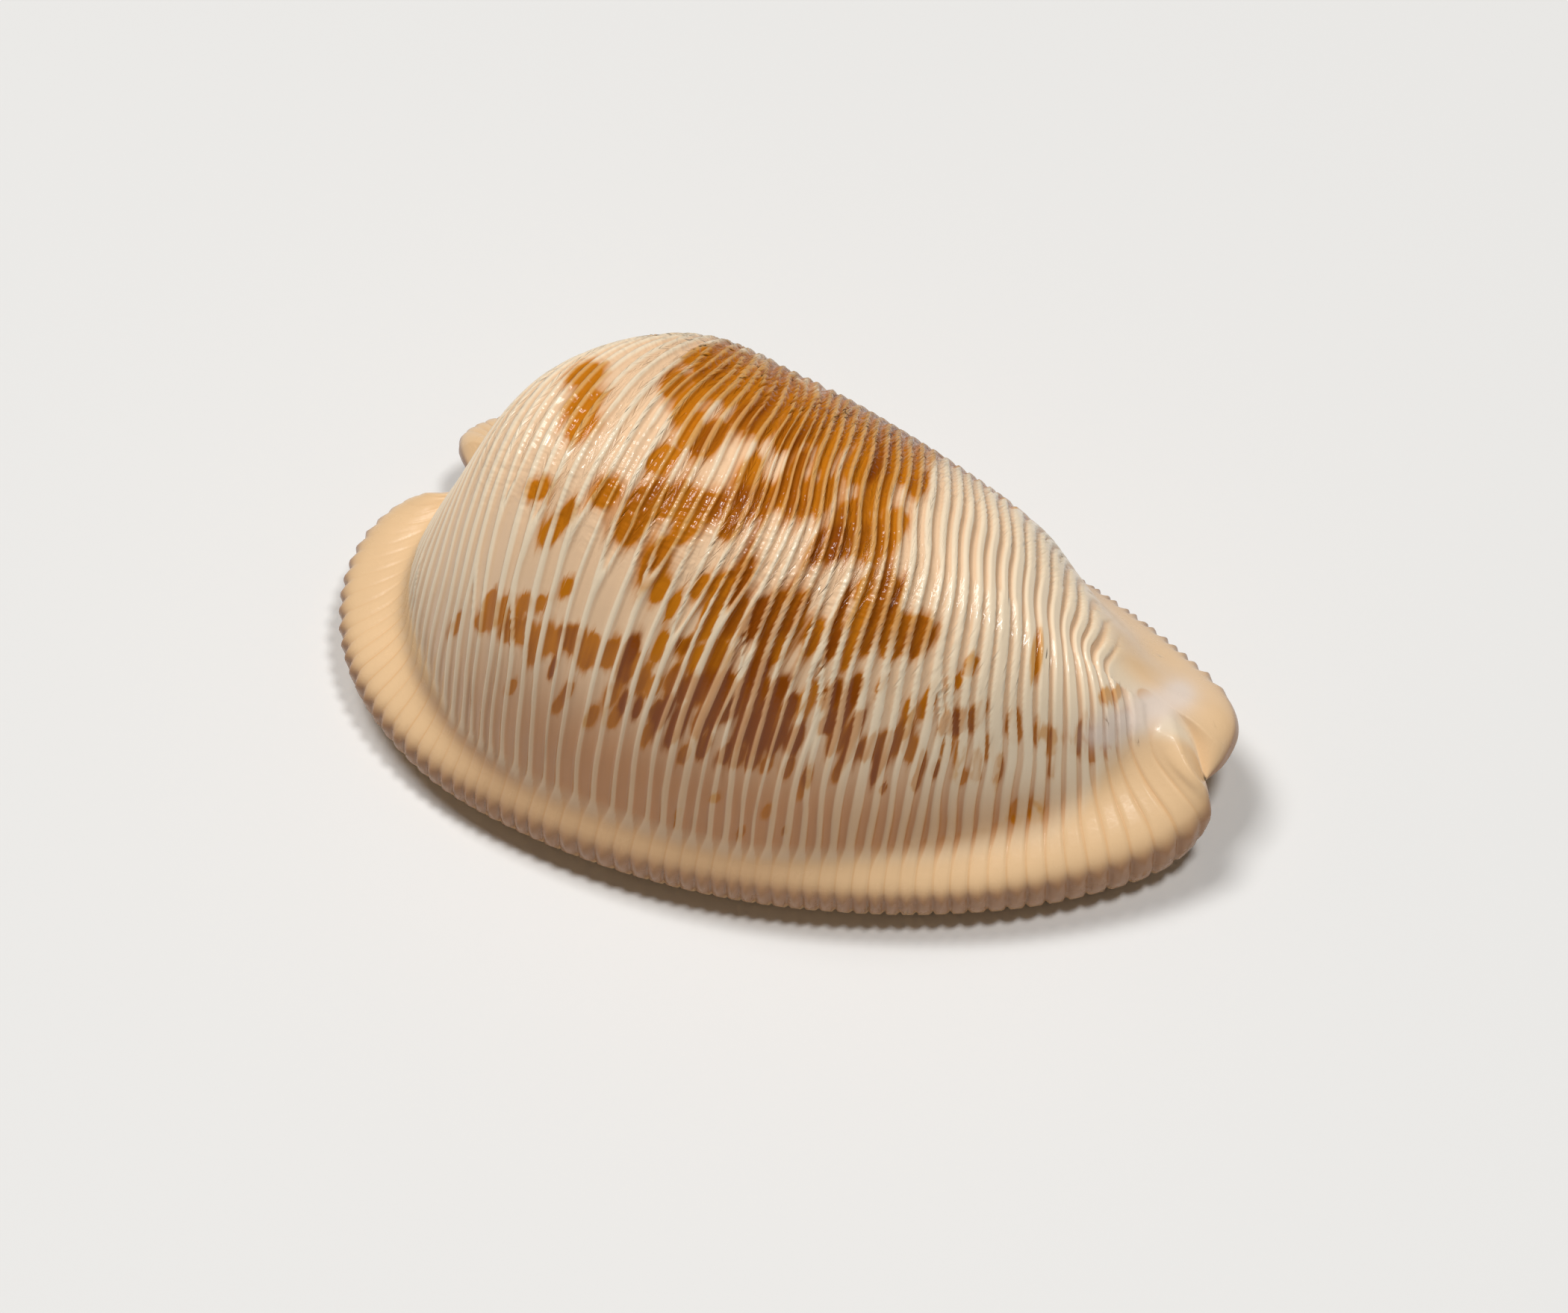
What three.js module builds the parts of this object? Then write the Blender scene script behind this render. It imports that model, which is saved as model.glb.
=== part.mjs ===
// A ribbed cowrie shell from the Cape coast, built as one closed solid.
//
// Frame, in millimetres: the shell rests on its base at z = 0, +X points to the narrow
// front end, -Y to the outer lip and +Z up through the domed back. The origin is the
// middle of the shell's bounding box on the surface that it rests on.
//
// The surface is a row of closed loops, one along each crest and one along each groove
// between the ribs. A loop runs from the top of the back down one side, round the rim,
// across the base and up into the mouth slit, and home by the other side. The loops
// close to a point in the notch at each end.

import * as THREE from 'three';

// Driving dimensions
const RIB_COUNT = 64;
const RIB_HEIGHT = 0.22;
const TOOTH_HEIGHT = 0.34;
const RIBS_PER_TOOTH = 3;
const REST_EDGE = 1.8;            // height of the rim's outermost line where the base rests
const REST_LIMIT = 1.9;           // the base lifts off the surface where that line is higher
const NOTCH_HEIGHT = 3.5;         // height of the notch floor at both ends

// The rim seen from above: x, y and the height of its outermost line
const LIP_RIM = [
  [-11.9, 4.2, NOTCH_HEIGHT], [-13.2, 3.7, 3.2], [-14.7, 3.0, 2.7], [-15.5, 1.5, 2.4],
  [-15.4, -0.8, 2.2], [-14.1, -3.3, 2.0], [-11.0, -5.7, 1.9], [-7.0, -6.9, REST_EDGE],
  [-2.0, -7.3, REST_EDGE], [3.0, -6.7, REST_EDGE], [8.0, -5.1, 1.9], [11.6, -3.1, 2.1],
  [13.6, -1.4, 2.4], [14.3, -0.2, 2.9], [13.9, 0.6, NOTCH_HEIGHT],
];
const COLUMELLA_RIM = [
  [-11.9, 4.2, NOTCH_HEIGHT], [-12.9, 4.8, 3.3], [-13.6, 6.0, 2.9], [-12.5, 7.7, 2.4],
  [-9.6, 9.0, 2.0], [-5.0, 10.0, REST_EDGE], [0.0, 9.8, REST_EDGE], [5.0, 8.5, REST_EDGE],
  [9.0, 6.9, 2.1], [12.0, 5.2, 2.6], [13.8, 3.9, 3.1], [14.4, 2.7, 3.4], [14.3, 1.5, 3.4],
  [13.9, 0.6, NOTCH_HEIGHT],
];
// The line along the top of the back, from notch to notch
const BACK_LINE = [
  [-11.9, 4.2, NOTCH_HEIGHT], [-11.7, 4.0, 5.5], [-11.2, 3.6, 8.0], [-9.9, 2.8, 12.2],
  [-7.2, 1.9, 14.75], [-3.8, 1.1, 14.45], [1.5, 0.9, 13.1], [5.8, 1.4, 10.9],
  [9.0, 1.5, 7.7], [11.3, 1.7, 5.5], [12.9, 1.6, 4.4], [13.9, 0.6, NOTCH_HEIGHT],
];
// The middle of the mouth slit, with the height of its roof
const MOUTH_LINE = [
  [-11.9, 4.2, NOTCH_HEIGHT], [-10.6, 3.0, 4.3], [-7.8, 1.0, 5.4], [-3.0, -0.8, 6.0],
  [3.0, -1.4, 6.0], [8.0, -1.0, 5.2], [11.4, -0.2, 4.4], [13.0, 0.3, 3.9],
  [13.9, 0.6, NOTCH_HEIGHT],
];

// Section sizes
const MOUTH_HALF_WIDTH = { rear: 0.75, front: 1.15 };
const LIP_EDGE_RADIUS = 0.55;
const UNDER_RIM_WIDTH = 2.2;      // how far in from the rim the base turns level
const BASE_CROWN = 0.45;          // rise of the base from its resting strip to the mouth
const RESTING_SHARE = 0.34;       // share of the base's width that lies level
const RIM_THICKNESS = 1.4;        // height of the rim's crown above its outermost line
const RIM_ROUNDNESS = 2.6;        // superellipse exponents, 2 being a plain ellipse
const BACK_ROUNDNESS = 2.15;
// A higher power runs the back into the rim more tightly, with a smooth swell at the front
const FILLET_POWER = { middle: 7, front: 2.8, frontStart: 0.72, frontEnd: 0.9 };
// The body's share of the reach from the midline to the rim, and where its ends begin
const LIP_BODY = {
  rear: 0.18, middle: 0.91, front: 0.21, rearEnd: 0.4, frontStart: 0.6, power: 1.5,
};
const COLUMELLA_BODY = {
  rear: 0.55, middle: 0.9, front: 0.45, rearEnd: 0.3, frontStart: 0.76, power: 1.25,
};
// How far a rib on top of the back trails its own end at the lip's rim, and the powers
// that keep the front lag near the notch and bring it to nothing there
const REAR_LAG = 0.075;
const FRONT_LAG = 0.13;
const FRONT_LAG_ONSET = 7;
const FRONT_LAG_RETURN = 40;
// How far a rib trails at the columella's rim, and the power that keeps this to the front
const COLUMELLA_LAG = 0.08;
const COLUMELLA_LAG_ONSET = 4;
// Ribs cross the top aslant, aiming back along the columella's rim, from this place on
const FRONT_SLANT = 0.24;
const SLANT_START = 0.36;
const SLANT_FULL = 0.6;
// How far a rib keeps its heading at the top and at the rim, as shares of its reach
const LIP_EASE = { top: 0.4, rim: 0.34 };
const COLUMELLA_EASE = { top: 0.4, rim: 0.36 };
const FULL_RIB_REACH = 3;         // ribs fade where the rim is nearer the notch than this
const BASE_LIFT_POWER = 1.2;      // how late the base lifts as the rim climbs to a notch
const CROWN_POWER = 2;            // how late the base climbs from its strip to the mouth
// Near the notches, where a section is small, its parts take at most these shares of it
const SMALL = { slit: 0.3, lipEdge: 0.12, underRim: 0.4, crown: 0.4, rim: 0.9 };
const WALL_SHARE = 0.5;           // share of the mouth's depth that is upright wall

// Steps down one side of a loop, from the top of the back to the roof of the mouth
const STRETCHES = [
  { name: 'back', steps: 9 },
  { name: 'underRim', steps: 3 },
  { name: 'base', steps: 3 },
  { name: 'lipEdge', steps: 2 },
  { name: 'wall', steps: 1 },
  { name: 'roof', steps: 1 },
];
const DENSE = 60;                 // samples of a stretch before it is spaced evenly

const rail = (points) => {
  const curve = new THREE.CatmullRomCurve3(
    points.map((p) => new THREE.Vector3(...p)), false, 'centripetal',
  );
  curve.arcLengthDivisions = 400;
  return curve;
};
const lipRail = rail(LIP_RIM);
const columellaRail = rail(COLUMELLA_RIM);
const backRail = rail(BACK_LINE);
const mouthRail = rail(MOUTH_LINE);

// A rib is known by s, its place at the lip's rim, from the rear notch, 0, to the front, 1.
// These say where the same rib crosses the top of the back and meets the columella's rim.
const backPlace = (s) => {
  const rear = s < 0.5 ? REAR_LAG * Math.sin(2 * Math.PI * s) : 0;
  return s - rear - FRONT_LAG * s ** FRONT_LAG_ONSET * (1 - s ** FRONT_LAG_RETURN);
};
const lipPlace = (s) => s;
const columellaPlace = (s) => (
  s - COLUMELLA_LAG * Math.sin(Math.PI * s ** COLUMELLA_LAG_ONSET)
);

const slant = (s) => FRONT_SLANT * THREE.MathUtils.smoothstep(s, SLANT_START, SLANT_FULL);

// How much of the reach from the midline to the rim the domed body takes up
const bodyShare = (s, body) => {
  const rear = Math.max(0, 1 - s / body.rearEnd) ** body.power;
  const front = Math.max(0, (s - body.frontStart) / (1 - body.frontStart)) ** body.power;
  return body.middle + (body.rear - body.middle) * rear + (body.front - body.middle) * front;
};

// The underside rises from the resting plane to the notch along with the rim's edge
const underHeight = (edge) => {
  const rise = Math.max(0, (edge - REST_LIMIT) / (NOTCH_HEIGHT - REST_LIMIT));
  return edge * rise ** BASE_LIFT_POWER;
};

const filletPower = (s) => THREE.MathUtils.lerp(
  FILLET_POWER.middle,
  FILLET_POWER.front,
  THREE.MathUtils.smoothstep(s, FILLET_POWER.frontStart, FILLET_POWER.frontEnd),
);

const superellipseRadius = (angle, across, up, power) => {
  const c = Math.abs(Math.cos(angle)) / across;
  const s = Math.abs(Math.sin(angle)) / up;
  return (c ** power + s ** power) ** (-1 / power);
};

const sampled = (place) => Array.from({ length: DENSE + 1 }, (_, i) => place(i / DENSE));

// A quarter ellipse that leaves `from` upright if steep, or level if not
const quarter = (from, to, steep) => sampled((t) => {
  const angle = (Math.PI / 2) * t;
  const turn = [1 - Math.cos(angle), Math.sin(angle)];
  const [across, up] = steep ? turn : [turn[1], turn[0]];
  return [from[0] + (to[0] - from[0]) * across, from[1] + (to[1] - from[1]) * up];
});

// Section of the back from its top to the rim: distance out from the midline, and height
const backSection = (reach, edge, top, share, fillet) => {
  const body = share * reach;
  const rise = Math.max(top - edge, 1e-3);
  const thickness = Math.min(RIM_THICKNESS, SMALL.rim * rise);
  const rim = (reach ** fillet - body ** fillet) ** (1 / fillet);
  return sampled((t) => {
    const angle = (Math.PI / 2) * (1 - t);
    const inner = superellipseRadius(angle, body, rise, BACK_ROUNDNESS);
    const outer = superellipseRadius(angle, rim, thickness, RIM_ROUNDNESS);
    const radius = (inner ** fillet + outer ** fillet) ** (1 / fillet);
    return [radius * Math.cos(angle), edge + radius * Math.sin(angle)];
  });
};

// Sections of the underside from the rim to the roof of the mouth
const underSections = (reach, edge, roof, slitWidth) => {
  const under = underHeight(edge);
  const slit = Math.min(slitWidth, SMALL.slit * reach);
  const lip = Math.min(LIP_EDGE_RADIUS, SMALL.lipEdge * reach);
  const level = reach - Math.min(UNDER_RIM_WIDTH, SMALL.underRim * reach);
  const crown = Math.min(under + BASE_CROWN, under + SMALL.crown * (roof - under));
  const lipTop = Math.min(crown + lip, crown + SMALL.crown * (roof - crown));
  const wallTop = lipTop + WALL_SHARE * (roof - lipTop);
  return {
    underRim: quarter([reach, edge], [level, under], true),
    base: sampled((t) => {
      const climb = Math.max(0, (t - RESTING_SHARE) / (1 - RESTING_SHARE)) ** CROWN_POWER;
      return [level + (slit + lip - level) * t, under + (crown - under) * climb];
    }),
    lipEdge: quarter([slit + lip, crown], [slit, lipTop], false),
    wall: sampled((t) => [slit, lipTop + (wallTop - lipTop) * t]),
    roof: quarter([slit, wallTop], [0, roof], true),
  };
};

// Points spaced evenly along a sampled stretch, leaving out its first
const spacedEvenly = (points, steps) => {
  const lengths = [0];
  for (let i = 1; i < points.length; i += 1) {
    const run = points[i][0] - points[i - 1][0];
    const climb = points[i][1] - points[i - 1][1];
    lengths.push(lengths[i - 1] + Math.hypot(run, climb));
  }
  const total = lengths[lengths.length - 1];
  return Array.from({ length: steps }, (_, k) => {
    const wanted = (total * (k + 1)) / steps;
    let i = 1;
    while (i < points.length - 1 && lengths[i] < wanted) i += 1;
    const t = (wanted - lengths[i - 1]) / Math.max(lengths[i] - lengths[i - 1], 1e-9);
    return [0, 1].map((a) => points[i - 1][a] + (points[i][a] - points[i - 1][a]) * t);
  });
};

// Seen from above, a rib leaves the midline along `launch` and meets the rim squarely
const ribPath = (start, end, launch, outward, ease) => {
  const reach = start.distanceTo(end);
  return new THREE.CubicBezierCurve(
    start,
    start.clone().addScaledVector(launch, ease.top * reach),
    end.clone().addScaledVector(outward, -ease.rim * reach),
    end,
  );
};

const seenFromAbove = (v) => new THREE.Vector2(v.x, v.y);

// One side of a loop, from just below the top of the back to the roof of the mouth
const sideOfLoop = (s, side) => {
  const rim = side.rail.getPointAt(side.place(s));
  const along = side.rail.getTangentAt(side.place(s));
  const outward = new THREE.Vector2(along.y, -along.x).multiplyScalar(side.sign).normalize();
  const rimPlace = seenFromAbove(rim);
  const lip = lipRail.getPointAt(s);
  const columella = columellaRail.getPointAt(columellaPlace(s));
  const behind = columellaRail.getPointAt(s - slant(s));
  const launch = seenFromAbove(lip).sub(seenFromAbove(behind))
    .multiplyScalar(side.sign).normalize();
  const meanEdge = (lip.z + columella.z) / 2;

  const top = backRail.getPointAt(backPlace(s));
  const overBack = ribPath(seenFromAbove(top), rimPlace, launch, outward, side.ease);
  const backReach = seenFromAbove(top).distanceTo(rimPlace);

  const mouth = mouthRail.getPointAt(s);
  const underBase = ribPath(seenFromAbove(mouth), rimPlace, launch, outward, side.ease);
  const baseReach = seenFromAbove(mouth).distanceTo(rimPlace);
  const slitWidth = THREE.MathUtils.lerp(MOUTH_HALF_WIDTH.rear, MOUTH_HALF_WIDTH.front, s);

  const sections = {
    back: backSection(
      backReach, Math.min(meanEdge, top.z), top.z, bodyShare(s, side.body), filletPower(s),
    ),
    ...underSections(baseReach, rim.z, mouth.z, slitWidth),
  };
  return STRETCHES.flatMap(({ name, steps }) => spacedEvenly(sections[name], steps).map(
    ([distance, height]) => {
      const onBack = name === 'back';
      const share = distance / (onBack ? backReach : baseReach);
      const place = (onBack ? overBack : underBase).getPoint(share);
      const tilt = onBack ? (rim.z - meanEdge) * share : 0;
      return { stretch: name, point: new THREE.Vector3(place.x, place.y, height + tilt) };
    },
  ));
};

const LIP = { rail: lipRail, sign: 1, place: lipPlace, body: LIP_BODY, ease: LIP_EASE };
const COLUMELLA = {
  rail: columellaRail,
  sign: -1,
  place: columellaPlace,
  body: COLUMELLA_BODY,
  ease: COLUMELLA_EASE,
};

const loopAt = (s) => {
  const top = { stretch: 'back', point: backRail.getPointAt(backPlace(s)) };
  const lip = sideOfLoop(s, LIP);
  const columella = sideOfLoop(s, COLUMELLA).slice(0, -1);
  return [top, ...columella, ...lip.reverse()];
};

// How far a point of loop number j stands out from, or sinks into, the smooth surface
const relief = (j, stretch, point, reach) => {
  const fade = Math.min(1, reach / FULL_RIB_REACH);
  const rib = (j % 2 === 1 ? 0.5 : -0.5) * RIB_HEIGHT;
  const tooth = 0.5 * TOOTH_HEIGHT * Math.cos((Math.PI * (j - 1)) / RIBS_PER_TOOTH);
  const heights = { back: rib, underRim: rib, base: rib, lipEdge: tooth, wall: tooth, roof: 0 };
  const resting = point.z < 1e-6;
  return resting ? 0 : fade * heights[stretch];
};

const buildShell = () => {
  const loopCount = 2 * RIB_COUNT - 1;
  const loops = Array.from({ length: loopCount }, (_, k) => loopAt((k + 1) / (loopCount + 1)));
  const around = loops[0].length;
  const rear = new THREE.Vector3(...LIP_RIM[0]);
  const front = new THREE.Vector3(...LIP_RIM[LIP_RIM.length - 1]);

  const positions = [rear];
  loops.forEach((loop, k) => {
    const before = loops[k - 1];
    const after = loops[k + 1];
    const s = (k + 1) / (loopCount + 1);
    const reach = Math.min(
      lipRail.getPointAt(s).distanceTo(rear), lipRail.getPointAt(s).distanceTo(front),
    );
    loop.forEach(({ stretch, point }, i) => {
      const forward = (after ? after[i].point : front).clone()
        .sub(before ? before[i].point : rear);
      const sideways = loop[(i + 1) % around].point.clone()
        .sub(loop[(i + around - 1) % around].point);
      const outward = forward.cross(sideways).normalize();
      const moved = point.clone().addScaledVector(outward, relief(k + 1, stretch, point, reach));
      moved.z = Math.max(0, moved.z);
      positions.push(moved);
    });
  });
  positions.push(front);

  const at = (k, i) => 1 + k * around + (i % around);
  const last = positions.length - 1;
  const index = [];
  for (let i = 0; i < around; i += 1) {
    index.push(0, at(0, i), at(0, i + 1));
    index.push(last, at(loopCount - 1, i + 1), at(loopCount - 1, i));
    for (let k = 0; k < loopCount - 1; k += 1) {
      index.push(at(k, i), at(k + 1, i + 1), at(k, i + 1));
      index.push(at(k, i), at(k + 1, i), at(k + 1, i + 1));
    }
  }
  const geometry = new THREE.BufferGeometry().setFromPoints(positions);
  geometry.setIndex(index);
  geometry.computeBoundingBox();
  const middle = geometry.boundingBox.getCenter(new THREE.Vector3());
  geometry.translate(-middle.x, -middle.y, -geometry.boundingBox.min.z);
  geometry.computeVertexNormals();
  return geometry;
};

const shell = new THREE.Mesh(
  buildShell(),
  new THREE.MeshStandardMaterial({ color: 0xe6c9a2, roughness: 0.3, metalness: 0 }),
);
shell.name = 'shell';

const cowrie = new THREE.Group();
cowrie.add(shell);

export default cowrie;
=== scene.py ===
"""A ribbed cowrie shell from the Cape coast, in its studio.

The shell lies on its base with its narrow front end towards +X and its outer lip towards
-Y, where the CAD solid lies. Its surface is a closed skin of rings: each ring crosses the
back, turns round both rims and meets itself in the mouth slit. A place on the skin has
two coordinates. `along` runs from the rear notch, 0, to the front notch, 1, and follows
the ribs. `across` is 0 at the lip's rim, 0.5 on top of the back and 1 at the columella's
rim, and goes on past those rims over the base. Sizes are in millimetres until the skin
is laid in the frame, which is in metres.
"""

from __future__ import annotations

import logging
import math
from dataclasses import dataclass, field
from enum import Enum

import bpy
import numpy as np
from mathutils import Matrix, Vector


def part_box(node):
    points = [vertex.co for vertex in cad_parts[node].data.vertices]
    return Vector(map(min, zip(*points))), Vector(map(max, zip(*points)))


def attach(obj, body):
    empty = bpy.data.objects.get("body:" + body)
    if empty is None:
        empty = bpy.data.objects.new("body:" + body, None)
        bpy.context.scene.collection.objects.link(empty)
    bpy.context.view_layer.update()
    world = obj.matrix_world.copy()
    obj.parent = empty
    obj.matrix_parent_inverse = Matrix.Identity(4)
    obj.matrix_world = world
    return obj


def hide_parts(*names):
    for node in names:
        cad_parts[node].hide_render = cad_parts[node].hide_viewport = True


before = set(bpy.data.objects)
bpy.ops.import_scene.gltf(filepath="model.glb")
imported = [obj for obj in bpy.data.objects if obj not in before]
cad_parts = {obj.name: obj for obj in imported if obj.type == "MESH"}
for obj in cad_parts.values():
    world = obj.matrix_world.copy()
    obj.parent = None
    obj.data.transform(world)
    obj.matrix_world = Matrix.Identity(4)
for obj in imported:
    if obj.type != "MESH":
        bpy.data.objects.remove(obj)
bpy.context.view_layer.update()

LOG = logging.getLogger("cowrie")
MM = 0.001

Array = np.ndarray
Colour = tuple[float, float, float]
Span = tuple[float, float]


def smoothstep(low: float, high: float, value: Array) -> Array:
    """Rise smoothly from 0 at `low` to 1 at `high`, or fall where `low` is the higher."""
    share = np.clip((value - low) / (high - low), 0.0, 1.0)
    return share * share * (3.0 - 2.0 * share)


def view_axes(azimuth: float, elevation: float) -> tuple[Array, Array, Array]:
    """Give the right, up and backward directions of a view.

    Args:
        azimuth: Degrees round the shell, 0 looking along +Y and 90 along -X.
        elevation: Degrees above the horizon.

    Returns:
        Three unit vectors.
    """
    a, e = math.radians(azimuth), math.radians(elevation)
    right = np.array([math.cos(a), math.sin(a), 0.0])
    back = np.array([math.sin(a) * math.cos(e), -math.cos(a) * math.cos(e), math.sin(e)])
    return right, np.cross(back, right), back


@dataclass(frozen=True)
class PhotoView:
    """Where the photo was taken from, in millimetres, and how it frames the shell."""

    width: int = 2100
    height: int = 1759
    azimuth: float = 18.0
    elevation: float = 57.0
    distance: float = 320.0
    pixels_per_mm: float = 41.3
    aim: tuple[float, float, float] = (0.6, -1.38, 7.0)
    aim_pixel: Span = (1061.0, 838.5)

    def station(self) -> Array:
        """Find the camera's place, from the point that falls on the aim pixel."""
        right, up, back = view_axes(self.azimuth, self.elevation)
        off_right = (self.aim_pixel[0] - self.width / 2) / self.pixels_per_mm
        off_up = (self.height / 2 - self.aim_pixel[1]) / self.pixels_per_mm
        return np.array(self.aim) - right * off_right - up * off_up + back * self.distance

    def pixels(self, places: Array) -> tuple[Array, Array]:
        """Find where places fall in the picture.

        Args:
            places: Rows of x, y and z, in millimetres.

        Returns:
            The places' pixel x and pixel y.
        """
        right, up, back = view_axes(self.azimuth, self.elevation)
        run = places - self.station()
        zoom = self.pixels_per_mm * self.distance / -(run @ back)
        return self.width / 2 + (run @ right) * zoom, self.height / 2 - (run @ up) * zoom


class Side(Enum):
    """The two sides of the shell, with the sign that turns a rim's tangent outwards."""

    LIP = 1
    COLUMELLA = -1


class Rail:
    """A smooth space curve through a few points, read by its share of arc length."""

    STEPS = 400

    def __init__(self, points: list[tuple[float, float, float]]) -> None:
        """Lay a centripetal Catmull-Rom curve through the points.

        Args:
            points: The places that the curve passes, in millimetres.
        """
        knots = np.asarray(points, float)
        knots = np.vstack([2 * knots[0] - knots[1], knots, 2 * knots[-1] - knots[-2]])
        spans = [self._span(knots[i - 1:i + 3]) for i in range(1, len(knots) - 2)]
        self.places = np.vstack([*spans, knots[-2][None]])
        steps = np.linalg.norm(np.diff(self.places, axis=0), axis=1)
        self.shares = np.concatenate([[0.0], np.cumsum(steps)]) / steps.sum()

    def _span(self, four: Array) -> Array:
        """Lay the stretch between the middle two of four knots.

        Args:
            four: Four knots in a row.

        Returns:
            Places along the stretch, without its last.
        """
        steps = np.linalg.norm(np.diff(four, axis=0), axis=1) ** 0.5
        times = np.concatenate([[0.0], np.cumsum(steps)])
        time = np.linspace(times[1], times[2], self.STEPS // 8 + 2)[:-1, None]
        layer = list(four)
        for blends in (((0, 1), (1, 2), (2, 3)), ((0, 2), (1, 3)), ((1, 2),)):
            layer = [((times[b] - time) * layer[i] + (time - times[a]) * layer[i + 1])
                     / (times[b] - times[a]) for i, (a, b) in enumerate(blends)]
        return layer[0]

    def at(self, share: Array) -> Array:
        """Read a row of x, y and z for each share of the arc length."""
        return np.stack([np.interp(share, self.shares, column) for column in self.places.T], axis=-1)

    def direction(self, share: Array) -> Array:
        """Read the curve's unit tangents, seen from above."""
        reach = 1.5 / self.STEPS
        run = (self.at(np.minimum(share + reach, 1.0)) - self.at(np.maximum(share - reach, 0.0)))
        flat = run[..., :2]
        return flat / np.linalg.norm(flat, axis=-1, keepdims=True)


@dataclass(frozen=True)
class Stretch:
    """A part of a ring's side, from the top of the back to the roof of the mouth."""

    name: str
    steps: int
    crowding: float = 0.0

    def shares(self) -> Array:
        """Share out its points, which may crowd towards its end."""
        share = np.arange(1, self.steps + 1) / self.steps
        return share + self.crowding * np.sin(math.pi * share) / math.pi


@dataclass(frozen=True)
class SideForm:
    """How one side's section changes along the shell.

    The body's shares are of the reach from the midline to the rim, and fall off towards
    both ends. The eases say how far a rib keeps its heading, as shares of its reach.
    """

    rear: float
    middle: float
    front: float
    rear_end: float
    front_start: float
    power: float
    ease_top: float
    ease_rim: float
    lag: float

    def body_share(self, along: Array) -> Array:
        """Give the domed body's share of the reach from the midline to the rim."""
        rear = np.maximum(0.0, 1.0 - along / self.rear_end) ** self.power
        past = (along - self.front_start) / (1.0 - self.front_start)
        front = np.maximum(0.0, past) ** self.power
        return (self.middle + (self.rear - self.middle) * rear
                + (self.front - self.middle) * front)

    def rim_place(self, along: Array) -> Array:
        """Find where the rib of a ring meets the rim."""
        return along - self.lag * np.sin(math.pi * np.asarray(along) ** 4)


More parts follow.
